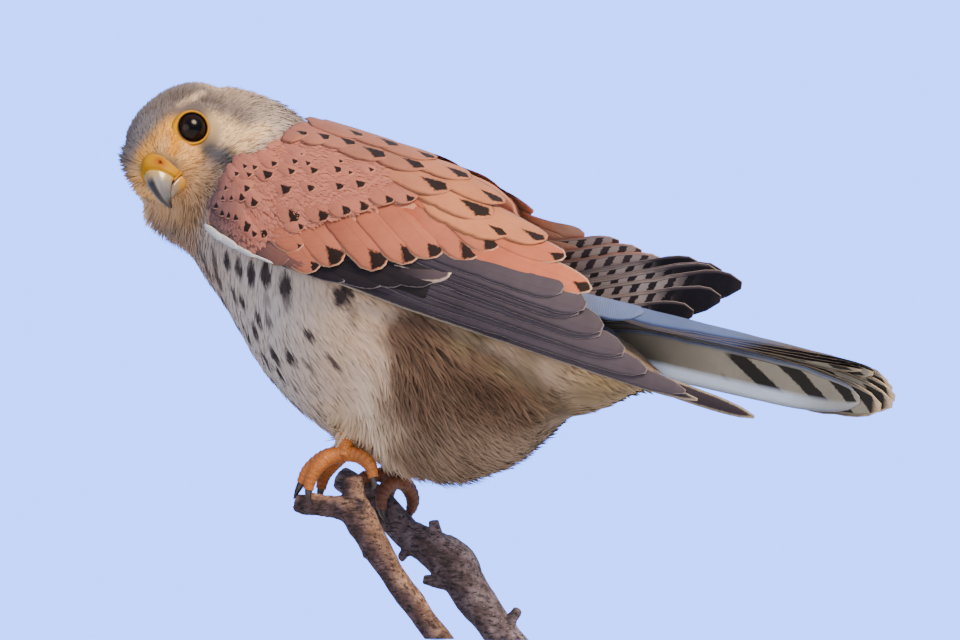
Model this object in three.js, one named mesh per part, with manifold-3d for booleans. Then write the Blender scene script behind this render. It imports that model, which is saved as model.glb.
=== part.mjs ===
// A life-size male common kestrel on a forked twig, held by a plain display stand. Millimetres, +Z up.
// The bird faces -X with its left side towards -Y. The origin is the middle of the stand's underside.
import * as THREE from "three";
import { mergeVertices } from "three/addons/utils/BufferGeometryUtils.js";
import Module from "manifold-3d";

const wasm = await Module();
wasm.setup();
const { Manifold, Mesh } = wasm;

const GAP = 0.3; // between pieces that meet face to face
const DEG = Math.PI / 180;

// Driving sizes of the bird
const BODY_SLOPE = 30; // the trunk's axis runs down to the tail by this much
const BODY = new THREE.Vector3(-0.5, 0, 221); // middle of the trunk
const HEAD = new THREE.Vector3(-73.2, -14.7, 275.3); // middle of the skull
const HEAD_TURN = 86.4; // the face turns from straight ahead towards the left
const HEAD_NOD = 29.9; // and looks down
const HEAD_TILT = 29.8; // and leans over
const WRIST = new THREE.Vector3(-50.8, 0, 236.6); // height of the bend of the folded wing
const WING_SLOPE = 19.7;
const TAIL_ROOT = new THREE.Vector3(72, 1, 214.5);
const TAIL_SLOPE = 16.3;

const v3 = (x, y, z) => new THREE.Vector3(x, y, z);

// Smooth reading of a short table of [place, size, size...] rows: a Catmull-Rom curve through each column.
function along(table, at) {
  const last = table.length - 1;
  let i = 0;
  while (i < last - 1 && at > table[i + 1][0]) i++;
  const t = Math.min(1, Math.max(0, (at - table[i][0]) / (table[i + 1][0] - table[i][0])));
  return table[i].slice(1).map((_, c) => {
    const p = (k) => table[Math.min(last, Math.max(0, k))][c + 1];
    const m0 = (p(i + 1) - p(i - 1)) / 2;
    const m1 = (p(i + 2) - p(i)) / 2;
    const t2 = t * t;
    const t3 = t2 * t;
    return (2 * t3 - 3 * t2 + 1) * p(i) + (t3 - 2 * t2 + t) * m0 + (3 * t2 - 2 * t3) * p(i + 1) + (t3 - t2) * m1;
  });
}

// A closed solid from rings of equal counts, with a fan over each end.
function loft(rings) {
  const count = rings[0].length;
  const points = rings.flat();
  const ends = [rings[0], rings[rings.length - 1]].map((ring) =>
    ring.reduce((sum, p) => sum.add(p), v3(0, 0, 0)).divideScalar(count),
  );
  const index = [];
  for (let i = 0; i < rings.length - 1; i++)
    for (let j = 0; j < count; j++) {
      const a = i * count + j;
      const b = i * count + ((j + 1) % count);
      index.push(a, b, b + count, a, b + count, a + count);
    }
  const tail = (rings.length - 1) * count;
  for (let j = 0; j < count; j++) {
    const k = (j + 1) % count;
    index.push(points.length, k, j, points.length + 1, tail + j, tail + k);
  }
  return solid([...points, ...ends], index);
}

// A manifold solid from points and triangles, turned so that it faces outwards.
function solid(points, index) {
  const geometry = new THREE.BufferGeometry().setFromPoints(points).setIndex(index);
  const merged = mergeVertices(geometry, 1e-4);
  const vertProperties = new Float32Array(merged.attributes.position.array);
  const triVerts = new Uint32Array(merged.index.array);
  const made = new Manifold(new Mesh({ numProp: 3, vertProperties, triVerts }));
  if (made.volume() > 0) return made;
  for (let i = 0; i < triVerts.length; i += 3)
    [triVerts[i + 1], triVerts[i + 2]] = [triVerts[i + 2], triVerts[i + 1]];
  return new Manifold(new Mesh({ numProp: 3, vertProperties, triVerts }));
}

// The largest closed surface of a solid.
function largest(made) {
  return made.decompose().reduce((best, one) => (one.volume() > best.volume() ? one : best));
}

const joined = (pieces) => Manifold.union(pieces);
const cutBy = (made, ...cutters) => largest(made.subtract(joined(cutters)));

// A round tube through points, with a radius at each, of the given number of sides.
function tube(path, radii, sides = 10) {
  const curve = new THREE.CatmullRomCurve3(path);
  const steps = path.length - 1;
  let side = v3(0, 1, 0);
  const rings = path.map((p, i) => {
    const tangent = curve.getTangent(i / steps);
    side = side.clone().addScaledVector(tangent, -side.dot(tangent)).normalize();
    const up = tangent.clone().cross(side);
    return Array.from({ length: sides }, (_, j) => {
      const turn = (2 * Math.PI * j) / sides;
      return p
        .clone()
        .addScaledVector(side, radii[i] * Math.cos(turn))
        .addScaledVector(up, radii[i] * Math.sin(turn));
    });
  });
  return loft(rings);
}

// A solid from one of three.js's own geometries, moved by a matrix.
function shaped(geometry, matrix = new THREE.Matrix4()) {
  geometry.deleteAttribute("normal");
  geometry.deleteAttribute("uv");
  const merged = mergeVertices(geometry.applyMatrix4(matrix), 1e-4);
  const points = [];
  for (let i = 0; i < merged.attributes.position.count; i++)
    points.push(v3().fromBufferAttribute(merged.attributes.position, i));
  return solid(points, Array.from(merged.index.array));
}

// A long box from one point towards another, to slice with.
function slab(from, direction, reach, width) {
  const facing = new THREE.Matrix4().lookAt(v3(0, 0, 0), direction, v3(0.123, 0.2, 1)).setPosition(from);
  return shaped(new THREE.BoxGeometry(width, width, reach).translate(0, 0, -reach / 2), facing);
}

// Trunk. Its frame: a runs down the body from breast to tail, h is square to it towards the back.
const A = v3(Math.cos(BODY_SLOPE * DEG), 0, -Math.sin(BODY_SLOPE * DEG));
const H = v3(Math.sin(BODY_SLOPE * DEG), 0, Math.cos(BODY_SLOPE * DEG));
const bodyPoint = (a, y, h) => BODY.clone().addScaledVector(A, a).addScaledVector(H, h).add(v3(0, y, 0));
// Rows: a, height of the back, depth of the belly, half width, shift to the side.
const TRUNK = [
  [-104, 24, -9, 8, -4.5],
  [-100, 32, -15, 13, -4.5],
  [-93, 37.5, -19.5, 17, -4.5],
  [-85, 41, -21, 21, -4.5],
  [-74, 43, -23, 26, -3],
  [-60, 41.5, -29.5, 30.5, -1],
  [-42, 43, -38, 33.5, 0],
  [-20, 46.5, -49, 36, 0],
  [0, 49.5, -55, 37.5, 0],
  [20, 50, -56.5, 37, 0],
  [45, 46.5, -54, 34.5, 0],
  [64, 41, -48, 30.5, 0],
  [79, 33, -38, 25, 0],
  [86, 32, -27, 22, 0],
  [92, 31, -9, 18, 0],
  [101, 30, 0, 13.5, 0],
  [112, 28, 13, 8.5, 0],
  [117, 26.5, 19, 4.5, 0],
];
const TRUNK_FRONT = -104;
const TRUNK_END = 117;

function trunkSolid(grow, sides = 24, steps = 22) {
  const rings = [];
  for (let i = 0; i <= steps; i++) {
    const share = i / steps;
    const a = TRUNK_FRONT + (TRUNK_END - TRUNK_FRONT) * share;
    const [back, belly, half, aside] = along(TRUNK, a);
    const middle = (back + belly) / 2;
    const tall = (back - belly) / 2 + grow;
    const end = i === 0 ? -grow : i === steps ? grow : 0;
    rings.push(
      Array.from({ length: sides }, (_, j) => {
        const turn = (2 * Math.PI * j) / sides;
        return bodyPoint(a + end, aside + (half + grow) * Math.sin(turn), middle + tall * Math.cos(turn));
      }),
    );
  }
  return loft(rings);
}

// Head. Its frame: F towards the bill, L towards its left side, U towards the crown.
const turn = HEAD_TURN * DEG;
const nod = HEAD_NOD * DEG;
const tilt = HEAD_TILT * DEG;
const F = v3(-Math.cos(turn) * Math.cos(nod), -Math.sin(turn) * Math.cos(nod), -Math.sin(nod));
const level = v3(Math.sin(turn), -Math.cos(turn), 0);
const upright = F.clone().cross(level);
const L = level.clone().multiplyScalar(Math.cos(tilt)).addScaledVector(upright, Math.sin(tilt));
const U = upright.clone().multiplyScalar(Math.cos(tilt)).addScaledVector(level, -Math.sin(tilt));
const headPoint = (f, u, l) => HEAD.clone().addScaledVector(F, f).addScaledVector(U, u).addScaledVector(L, l);
// Rows: f, height of the crown, depth of the throat, half width.
const SKULL = [
  [-27, 3, -4, 4],
  [-25.5, 9, -9.5, 10],
  [-20, 15.9, -16.5, 18],
  [-10, 19.7, -21, 22.4],
  [0, 20.2, -22, 22.8],
  [8, 19, -20.8, 20.4],
  [13, 16.3, -18.2, 17.6],
  [16.5, 12.5, -14.5, 13.5],
  [18.6, 8.2, -10.5, 9],
  [19.6, 5, -7.5, 5.5],
];

const SQUARE = 0.87; // below 1 makes the rings fuller than an ellipse

function skullSolid(grow, sides = 22, steps = 14) {
  const rings = [];
  for (let i = 0; i <= steps; i++) {
    const f = SKULL[0][0] + (SKULL[SKULL.length - 1][0] - SKULL[0][0]) * (i / steps);
    const [crown, throat, half] = along(SKULL, f);
    const middle = (crown + throat) / 2;
    const end = i === 0 ? -grow : i === steps ? grow : 0;
    rings.push(
      Array.from({ length: sides }, (_, j) => {
        const round = (2 * Math.PI * j) / sides;
        const tall = (crown - throat) / 2 + grow;
        const rise = Math.sign(Math.cos(round)) * Math.abs(Math.cos(round)) ** SQUARE;
        const out = Math.sign(Math.sin(round)) * Math.abs(Math.sin(round)) ** SQUARE;
        return headPoint(f + end, middle + tall * rise, (half + grow) * out);
      }),
    );
  }
  return loft(rings);
}

// Eyes: each looks out and a little forward, sunk behind its ring of bare yellow skin.
const EYE_RADIUS = 7;
const EYE_PLACE = { f: 7.8, u: 2.5, l: 12.6 };
const EYE_AHEAD = 35; // turned forward from square out
const RING = { inner: 5.1, outer: 7.1, front: 5.6 };
const eyeMiddle = (side) => headPoint(EYE_PLACE.f, EYE_PLACE.u, side * EYE_PLACE.l);
const eyeAxis = (side) =>
  L.clone()
    .multiplyScalar(side * Math.cos(EYE_AHEAD * DEG))
    .addScaledVector(F, Math.sin(EYE_AHEAD * DEG));

// A lathed solid round an axis: its profile's rows are radius and distance along the axis.
function lathed(middle, axis, rows, sides = 20) {
  const profile = rows.map(([radius, out]) => new THREE.Vector2(radius, out));
  const facing = new THREE.Quaternion().setFromUnitVectors(v3(0, 1, 0), axis);
  const matrix = new THREE.Matrix4().makeRotationFromQuaternion(facing).setPosition(middle);
  return shaped(new THREE.LatheGeometry(profile, sides), matrix);
}

function eyeSolid(side) {
  const matrix = new THREE.Matrix4().setPosition(eyeMiddle(side));
  return shaped(new THREE.SphereGeometry(EYE_RADIUS, 16, 10), matrix);
}

// The bare ring of the lids: a band round the ball, open in front, its inner face on the ball.
function ringSolid(side) {
  const reach = EYE_RADIUS + GAP;
  const inside = [0.6, 2.2, 3.6, 4.7].map((out) => [Math.sqrt(reach ** 2 - out ** 2), out]);
  const { inner, outer, front } = RING;
  const rows = [...inside, [inner, front], [outer - 0.9, front], [outer, front - 0.9], [outer + 0.5, 0.6]];
  return lathed(eyeMiddle(side), eyeAxis(side), [...rows, inside[0]]);
}

// The pocket of the eye and the hollow of the face round it, under the brow.
const SOCKET = [
  [0, -7.6],
  [8, -7.6],
  [8, 4.4],
  [12.5, 9.5],
  [12.5, 12],
  [0, 12],
];
const socketSolid = (side) => lathed(eyeMiddle(side), eyeAxis(side), SOCKET);

// Bill. Rows: share along, culmen f and u, cutting edge f and u, half width.
const CULMEN = [
  [0, 18.5, 5, 14.5, -7.6, 7.8],
  [0.2, 22, 4.7, 18, -7.3, 6.9],
  [0.4, 25.3, 2.8, 21.5, -7.2, 5.8],
  [0.6, 28.4, -1.4, 24.6, -8, 4.6],
  [0.75, 30.2, -6, 26.8, -10, 3.3],
  [0.88, 30.9, -10.6, 28.4, -12.4, 2],
  [1, 29.9, -15.4, 29.3, -15.3, 0.5],
];
const CERE_END = 0.42;

function billShell(from, to, grow, steps) {
  const rings = [];
  for (let i = 0; i <= steps; i++) {
    const [cf, cu, ef, eu, half] = along(CULMEN, from + (to - from) * (i / steps));
    const height = Math.hypot(cf - ef, cu - eu);
    const up = [(cf - ef) / height, (cu - eu) / height];
    const ring = [];
    for (let j = 0; j <= 10; j++) {
      const round = (j / 10 - 0.5) * Math.PI;
      const rise = (height + grow) * Math.cos(round) ** 0.85;
      ring.push(headPoint(ef + up[0] * rise, eu + up[1] * rise, (half + grow) * Math.sin(round)));
    }
    ring.push(headPoint(ef - up[0] * grow, eu - up[1] * grow, 0));
    rings.push(ring);
  }
  return loft(rings);
}

const NOSTRIL = { f: 22.6, u: 0.4, l: 6, radius: 1.05 };

function cereSolid(grow) {
  const made = billShell(0, CERE_END, 0.7 + grow, 4);
  if (grow > 0) return made;
  const { radius } = NOSTRIL;
  const hole = [
    [0, -1.8],
    [radius, -1.8],
    [radius, 3],
    [0, 3],
  ];
  const holes = [1, -1].map((side) => {
    const middle = headPoint(NOSTRIL.f, NOSTRIL.u, side * NOSTRIL.l);
    return lathed(middle, L.clone().multiplyScalar(side), hole, 10);
  });
  return largest(made.subtract(joined(holes)));
}

// Rows of the lower half: f, height of its upper edge, depth, half width.
const LOWER_BILL = [
  [13.5, -8.3, -13.6, 7.3],
  [18, -8.2, -13.4, 6.3],
  [21.5, -8.2, -13.2, 5.1],
  [24.3, -8.9, -13, 3.7],
  [26.4, -10.6, -12.9, 2],
];

function lowerBillSolid(grow) {
  const rings = LOWER_BILL.map(([f, top, bottom, half], i) => {
    const end = i === 0 ? -grow : i === LOWER_BILL.length - 1 ? grow : 0;
    const ring = [];
    for (let j = 0; j <= 8; j++) {
      const round = (j / 8 - 0.5) * Math.PI;
      const drop = (top - bottom + grow) * Math.cos(round) ** 0.8;
      ring.push(headPoint(f + end, top - drop, (half + grow) * Math.sin(round)));
    }
    ring.push(headPoint(f + end, top + grow, 0));
    return ring;
  });
  return loft(rings);
}

// Wings. A folded wing is a curved sheet: x runs from the wrist to the tip, z is the arc up from the lower edge.
// Rows: x, distance of the lower edge from the middle of the bird, radius of the arc, lean of the lower edge.
const SHEET = [
  [-10, 34, 49, -8],
  [0, 38.5, 51.5, -8],
  [45, 43, 51.5, -8],
  [80, 42, 51, -8],
  [102, 38, 46, -7],
  [125, 34, 45, -5],
  [165, 27, 80, 0],
  [218, 20.5, 120, 0],
];
const TW = v3(Math.cos(WING_SLOPE * DEG), 0, -Math.sin(WING_SLOPE * DEG));
const NW = v3(Math.sin(WING_SLOPE * DEG), 0, Math.cos(WING_SLOPE * DEG));
const WINGS = {
  left: { side: -1, lift: 0, inward: 0 },
  right: { side: 1, lift: 28, inward: 16 }, // carried higher over the tail, and more folded
};

function sheetPoint(wing, x, z) {
  const [edge, radius, leanDegrees] = along(SHEET, x);
  const lean = leanDegrees * DEG;
  const bend = THREE.MathUtils.smoothstep(x, 100, 200);
  const y = edge - wing.inward * bend - radius * (Math.cos(lean) - Math.cos(lean + z / radius));
  const h = radius * (Math.sin(lean + z / radius) - Math.sin(lean)) + wing.lift * bend;
  return WRIST.clone()
    .addScaledVector(TW, x)
    .addScaledVector(NW, h)
    .add(v3(0, wing.side * y, 0));
}

function sheetNormal(wing, x, z) {
  const step = 0.5;
  const dx = sheetPoint(wing, x + step, z).sub(sheetPoint(wing, x - step, z));
  const dz = sheetPoint(wing, x, z + step).sub(sheetPoint(wing, x, z - step));
  return dx.cross(dz).multiplyScalar(-wing.side).normalize();
}

const onSheet = (wing, x, z, height) => sheetPoint(wing, x, z).addScaledVector(sheetNormal(wing, x, z), height);

// Core of the folded wing on its sheet. Rows: x, lower edge, upper edge, thickness, height of its outer face.
const WING_CORE = [
  [-4, 8, 18, 3, 0],
  [-1, 2.5, 27, 6, 0],
  [6, -0.5, 44, 8, 0],
  [14, -1.5, 62, 9, 0],
  [30, -2, 72, 10, 0],
  [60, -1, 74, 10, 0],
  [84, 1.5, 70, 9, 0],
  [94, 2, 63, 7.5, 0],
  [97, 2, 60, 4, -3.5],
  [110, 2.5, 49, 3, -3.7],
  [130, 3.5, 34, 2.2, -3.7],
  [150, 4.5, 17, 1.8, -3.5],
];
const WING_STEPS = [-4, -1, 3, 8, 14, 22, 30, 40, 50, 60, 72, 84, 94, 97, 110, 123, 137, 150];

function wingCore(wing) {
  const rings = [];
  const across = 6;
  for (const x of WING_STEPS) {
    const [low, high, thick, height] = along(WING_CORE, x);
    const outer = [];
    const inner = [];
    for (let j = 0; j <= across; j++) {
      const z = low + (high - low) * (j / across);
      const edge = Math.sqrt(Math.max(0, 1 - (2 * (j / across) - 1) ** 4));
      outer.push(onSheet(wing, x, z, height - 0.25 * thick * (1 - edge)));
      inner.push(onSheet(wing, x, z, height - 0.6 - (thick - 0.6) * (0.35 + 0.65 * edge)));
    }
    rings.push([...outer, ...inner.reverse()]);
  }
  return loft(rings);
}

// A feather's vane: a thin plate from its root to a rounded tip, laid over a sheet that at(x, z, height) maps.
// Its row: root x and z, tip x and z, full width, height of the root, height of the tip.
const VANE_THICK = 0.55;
const VANE_SHAPE = [
  [0, 0.6],
  [0.55, 1],
  [0.86, 0.88],
  [0.965, 0.5],
  [1, 0.16],
];
const ROLL = 0.08; // each vane leans under its upper neighbour by this slope

function vane(at, [x0, z0, x1, z1, width, low, high], roll = ROLL) {
  const length = Math.hypot(x1 - x0, z1 - z0);
  const cross = [-(z1 - z0) / length, (x1 - x0) / length];
  const rings = VANE_SHAPE.map(([share, part]) => {
    const corner = (side, face) => {
      const out = (side * part * width) / 2;
      const x = x0 + (x1 - x0) * share + cross[0] * out;
      const z = z0 + (z1 - z0) * share + cross[1] * out;
      return at(x, z, low + (high - low) * share - roll * out + (face * VANE_THICK) / 2);
    };
    return [corner(-1, 1), corner(1, 1), corner(1, -1), corner(-1, -1)];
  });
  return loft(rings);
}

// Quills shared by both wings, from the top of the fold down: the innermost feathers and the shoulder's.
const TERTIALS = [
  [62, 37, 148, 29.5, 16, -1, 1.9],
  [60, 46, 131, 40.5, 17, -0.9, 2.2],
  [58, 55, 113, 50.5, 17, -0.8, 2.5],
];
const FLIGHT = {
  left: [
    [60, 4, 217.5, 1.2, 9, -3, -2.6],
    [62, 6, 207, 3.2, 9, -2.2, -1.8],
    [64, 8, 195, 4.4, 10, -1.9, -1],
    [66, 10, 183, 5.6, 11, -1.7, -0.2],
    [68, 14, 177.5, 8.5, 13, -1.5, 0.6],
    [66, 20, 166, 15, 14, -1.4, 1],
    [64, 27, 156.5, 21.5, 15, -1.2, 1.3],
  ],
  right: [
    [60, 4, 177, 8, 12, -3, -2.6],
    [62, 8, 183.5, 13.5, 12, -2.2, -1.8],
    [64, 11, 190.5, 18.5, 12, -1.9, -1],
    [66, 14, 186, 22, 12, -1.7, -0.2],
    [68, 18, 178.5, 24.5, 13, -1.5, 0.6],
    [66, 24, 168, 26.5, 14, -1.4, 1],
    [64, 30, 155, 28, 13, -1.2, 1.1],
  ],
};
const GREATER_COVERTS = [
  [14, 5, 47, -0.5, 12, -1.2, 0.8],
  [24, 9.5, 59, 6, 12, -1.2, 0.9],
  [34, 13, 74, 10.5, 13, -1.2, 1],
  [44, 18, 86, 15, 13, -1.2, 1.1],
  [54, 25, 97, 21.5, 14, -1.2, 1.3],
  [60, 33, 105, 28, 15, -1.2, 1.8],
];
const MEDIAN_COVERTS = [
  [6, 15, 28, 13, 11, -1, 1],
  [15, 20, 38, 18, 11, -1, 1.1],
  [24, 26, 48, 23.5, 12, -1, 1.2],
  [31, 32.5, 56, 29.5, 12, -1, 1.3],
  [38, 40, 64, 36.5, 13, -1, 1.4],
  [45, 48.5, 72, 44.5, 14, -1, 1.6],
];
const SCAPULARS = [
  [64, 52, 99, 46.5, 16, -0.8, 2.6],
  [70, 61, 110, 50, 15, -0.8, 3.3],
  [44, 58, 82, 55, 17, -1, 2.2],
  [60, 68, 96, 59.5, 15, -0.8, 3],
  [32, 67, 68, 64, 16, -1, 1.9],
  [56, 74, 84, 67.5, 11, -0.8, 2.2],
];

// Tail. A roof-shaped sheet: x runs from the root to the tip, s is the arc to either side of the ridge.
const TT = v3(Math.cos(TAIL_SLOPE * DEG), 0, -Math.sin(TAIL_SLOPE * DEG));
const NT = v3(Math.sin(TAIL_SLOPE * DEG), 0, Math.cos(TAIL_SLOPE * DEG));
const TAIL_LEAN = 38; // the sheet falls away to the right by this much at its middle line
const TAIL_CURL = { left: 4, right: 1 }; // degrees for each millimetre across

// Places across the tail: the sheet's slope changes evenly with the arc s, faster on the left.
function tailPoint(x, s, height) {
  const curl = (s < 0 ? TAIL_CURL.left : TAIL_CURL.right) * DEG;
  const from = TAIL_LEAN * DEG;
  const to = from + curl * s;
  const y = (Math.sin(to) - Math.sin(from)) / curl + height * Math.sin(to);
  const h = (Math.cos(to) - Math.cos(from)) / curl + height * Math.cos(to);
  return TAIL_ROOT.clone().addScaledVector(TT, x).addScaledVector(NT, h).add(v3(0, y, 0));
}
// The tail's root under the feathers. Rows: x, half width to the left, to the right, thickness, height of its top.
const TAIL_CORE = [
  [0, 18, 12, 7, 0.4],
  [20, 20, 15, 7, 0.4],
  [36, 18.5, 16, 6.4, 0.4],
];
const TAIL_CORE_LENGTH = 36;

function tailCore() {
  const rings = [];
  const steps = 3;
  const across = 4;
  for (let i = 0; i <= steps; i++) {
    const x = TAIL_CORE_LENGTH * (i / steps);
    const [left, right, thick, height] = along(TAIL_CORE, x);
    const outer = [];
    const inner = [];
    for (let j = 0; j <= across; j++) {
      const s = -left + (left + right) * (j / across);
      outer.push(tailPoint(x, s, height));
      inner.push(tailPoint(x, s, height - thick));
    }
    rings.push([...outer, ...inner.reverse()]);
  }
  return loft(rings);
}

// Tail feathers, from the outer left over the top pair to the outer right.
const TAIL_FEATHERS = [
  [28, -10, 117, -9, 13, -4.4, -4],
  [28, -8.5, 125, -7.5, 14, -3.6, -3.2],
  [28, -7, 129, -6, 14, -2.8, -2.4],
  [28, -5, 131, -4, 15, -2, -1.6],
  [28, -3, 132, -2, 15, -1.2, -0.8],
  [28, -1, 133, 0, 16, -0.4, 0],
  [28, 1, 133, 3, 16, -1.2, -0.8],
  [28, 3, 132.5, 5.5, 15, -2, -1.6],
  [28, 4.5, 131, 8, 15, -2.8, -2.4],
  [28, 6, 129, 10.5, 14, -3.6, -3.2],
  [28, 7.5, 124, 12.5, 14, -4.4, -4],
];
const TAIL_COVERTS = [
  [4, -10, 52, -12.5, 13, -0.6, 0.9],
  [4, 8, 46, 10, 13, -0.6, 0.9],
  [8, -4, 58, -4.5, 15, -0.4, 1.7],
  [8, 4, 54, 5, 15, -0.4, 1.7],
];

// Legs: each is feathered down to the ankle, bare below it.
const LEGS = {
  left: { hip: v3(10, -12, 184), ankle: v3(-2, -17.5, 164), foot: v3(-3, -18, 156.5) },
  right: { hip: v3(20, 13, 184), ankle: v3(10.5, 10.5, 160), foot: v3(8, 10, 147.5) },
};
const THIGH = [12, 12, 10.5, 8.5, 5.5]; // radii of the feathered thigh down to the ankle
const TARSUS_RADIUS = 3.2;

function thighSolid(leg, grow) {
  const path = [0, 0.3, 0.6, 0.85, 1].map((t) => leg.hip.clone().lerp(leg.ankle, t));
  return tube(path, THIGH.map((r) => r + grow), 12);
}

function tarsusSolid(leg, grow) {
  const toAnkle = leg.ankle.clone().sub(leg.foot);
  const path = [-0.12, 0.3, 0.7, 1.4].map((t) => leg.foot.clone().addScaledVector(toAnkle, t));
  return tube(path, [4.2, TARSUS_RADIUS, TARSUS_RADIUS, 3.4].map((r) => r + grow), 10);
}

// Toes: a path of points from the foot, and its radii. The claw goes on from the last point.
const TOES = {
  left: [
    { name: "middle", reach: [v3(-10, -18.5, 155.5), v3(-16.5, -19, 151), v3(-19.5, -19.5, 145.8)], claw: v3(-22.5, -19.5, 140) },
    { name: "inner", reach: [v3(-8, -13, 154.5), v3(-13.5, -11.5, 149.5), v3(-15, -11.8, 144)], claw: v3(-14.5, -13.2, 138.5) },
    { name: "outer", reach: [v3(-8, -23, 154), v3(-12.5, -25, 148.5), v3(-14, -25, 143)], claw: v3(-13, -23.8, 137.5) },
    { name: "back", reach: [v3(3, -18, 155.5), v3(7.5, -18, 152), v3(9, -18, 147.3)], claw: v3(7.8, -18, 141.6) },
  ],
  right: [
    { name: "middle", reach: [v3(1, 8, 150), v3(-4.5, 5, 149), v3(-9, 3.2, 145)], claw: v3(-9.5, 3, 139.5) },
    { name: "inner", reach: [v3(6, 4.5, 146.5), v3(4, 1.5, 142), v3(4, 1.2, 136.5)], claw: v3(6.8, 2.6, 132) },
    { name: "outer", reach: [v3(3.5, 15, 148), v3(-0.5, 18.5, 145), v3(-1, 19, 139.5)], claw: v3(1.5, 18.2, 135) },
    { name: "back", reach: [v3(12, 14.5, 146), v3(14.5, 18.2, 141.5), v3(14, 19, 136)], claw: v3(11.5, 18, 131.5) },
  ],
};
const TOE_RADII = [2.9, 2.9, 2.6, 1.9];
const CLAW_RADII = [1.55, 1.25, 0.8, 0.3];

function toeSolid(leg, toe, grow) {
  const path = [leg.foot, ...toe.reach];
  return tube(path, TOE_RADII.map((r) => r + grow), 8);
}

function clawSolid(toe) {
  const from = toe.reach[2];
  const ahead = from.clone().sub(toe.reach[1]).normalize();
  const start = from.clone().addScaledVector(ahead, GAP);
  const bend = start.clone().addScaledVector(ahead, from.distanceTo(toe.claw) * 0.5);
  const curve = new THREE.QuadraticBezierCurve3(start, bend, toe.claw);
  return tube(curve.getPoints(3), CLAW_RADII, 7);
}

// Perch: two stems of a twig, each a gnarled tube with buds, cut level below.
const STEM_FRONT = [
  [v3(-21.5, -19, 138.8), 3.4],
  [v3(-15, -19, 138), 4.2],
  [v3(-6, -18.5, 136.8), 4.6],
  [v3(1.5, -18, 134.5), 5.8],
  [v3(9, -18, 124.5), 5],
  [v3(20, -18, 108.5), 4.4],
  [v3(30, -18, 94.5), 4.3],
  [v3(38, -18, 83), 4.2],
];
const STEM_STUB = [
  [v3(2, -18, 132), 4.8],
  [v3(1.5, -18, 141), 4.4],
  [v3(0.5, -18, 147.5), 3.9],
];
const STEM_REAR = [
  [v3(-17, 9, 148), 3.4],
  [v3(-10, 9.5, 143.8), 4.6],
  [v3(0, 10, 138), 5.4],
  [v3(11, 10, 128), 6],
  [v3(25.5, 10.5, 116), 9.6],
  [v3(35, 11, 106), 7.6],
  [v3(45, 11, 95.5), 7],
  [v3(57, 11, 82), 6.8],
];
const PERCH_CUT = 88; // the stems are sawn off level here
const STEM_SIDES = 11;

function stemSolid(rows, grow) {
  return tube(
    rows.map((r) => r[0]),
    rows.map((r) => r[1] + grow),
    STEM_SIDES,
  );
}

// A small side bud on a stem.
function bud(from, to, radius) {
  const path = [0, 0.5, 1].map((t) => from.clone().lerp(to, t));
  return tube(path, [radius, radius * 0.95, radius * 0.5], 8);
}

const below = slab(v3(0, 0, PERCH_CUT), v3(0, 0, -1), 60, 300);

function frontPerch(grow) {
  return joined([
    stemSolid(STEM_FRONT, grow),
    stemSolid(STEM_STUB, grow),
    bud(v3(5, -19, 133), v3(6.5, -21.5, 140), 3.3 + grow),
    bud(v3(11, -18, 120), v3(5, -19, 118.5), 2.2 + grow),
  ]);
}

function rearPerch(grow) {
  return joined([
    stemSolid(STEM_REAR, grow),
    bud(v3(24, 8, 119), v3(24.5, 5, 130), 3.2 + grow),
    bud(v3(47, 10, 92), v3(54, 9, 97), 2.4 + grow),
    bud(v3(14, 9, 125), v3(9, 7, 118), 2.4 + grow),
    bud(v3(28, 9, 108), v3(15.5, 7, 111), 2.5 + grow),
  ]);
}

// Stand: a flat base with two short rods under the sawn stems.
const BASE = { x: 85, y: 62, thick: 12, corner: 14, bevel: 1 };
const ROD_RADIUS = 3.2;
const RODS = { front: [34.6, -18], rear: [52, 11] };

function baseSolid() {
  const { x, y, thick, corner, bevel } = BASE;
  const right = x - bevel;
  const top = y - bevel;
  const plan = new THREE.Shape()
    .moveTo(corner - right, -top)
    .lineTo(right - corner, -top)
    .quadraticCurveTo(right, -top, right, corner - top)
    .lineTo(right, top - corner)
    .quadraticCurveTo(right, top, right - corner, top)
    .lineTo(corner - right, top)
    .quadraticCurveTo(-right, top, -right, top - corner)
    .lineTo(-right, corner - top)
    .quadraticCurveTo(-right, -top, corner - right, -top);
  const depth = thick - 2 * bevel;
  const options = { depth, bevelSize: bevel, bevelThickness: bevel, bevelSegments: 1, curveSegments: 5 };
  return shaped(new THREE.ExtrudeGeometry(plan, options).translate(0, 0, bevel));
}

function rodSolid([x, y]) {
  const height = PERCH_CUT - BASE.thick - 2 * GAP;
  const upright = new THREE.Matrix4().makeRotationX(Math.PI / 2).setPosition(x, y, BASE.thick + GAP + height / 2);
  return shaped(new THREE.CylinderGeometry(ROD_RADIUS, ROD_RADIUS, height, 16), upright);
}

// Colours of the sub-parts
const LOOKS = {
  grey: [0x9a938c, 0.9],
  rufous: [0xb9764f, 0.85],
  dusk: [0x4a4145, 0.7],
  buff: [0xc9b59a, 0.95],
  slate: [0x8d949c, 0.8],
  yellow: [0xf2b417, 0.5],
  eye: [0x140d0c, 0.08],
  horn: [0x6d7176, 0.35],
  foot: [0xe39a2e, 0.6],
  claw: [0x1b1718, 0.35],
  bark: [0x6f5a4f, 0.95],
  board: [0x3a3735, 0.6],
  steel: [0x8f9296, 0.35],
};

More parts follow.
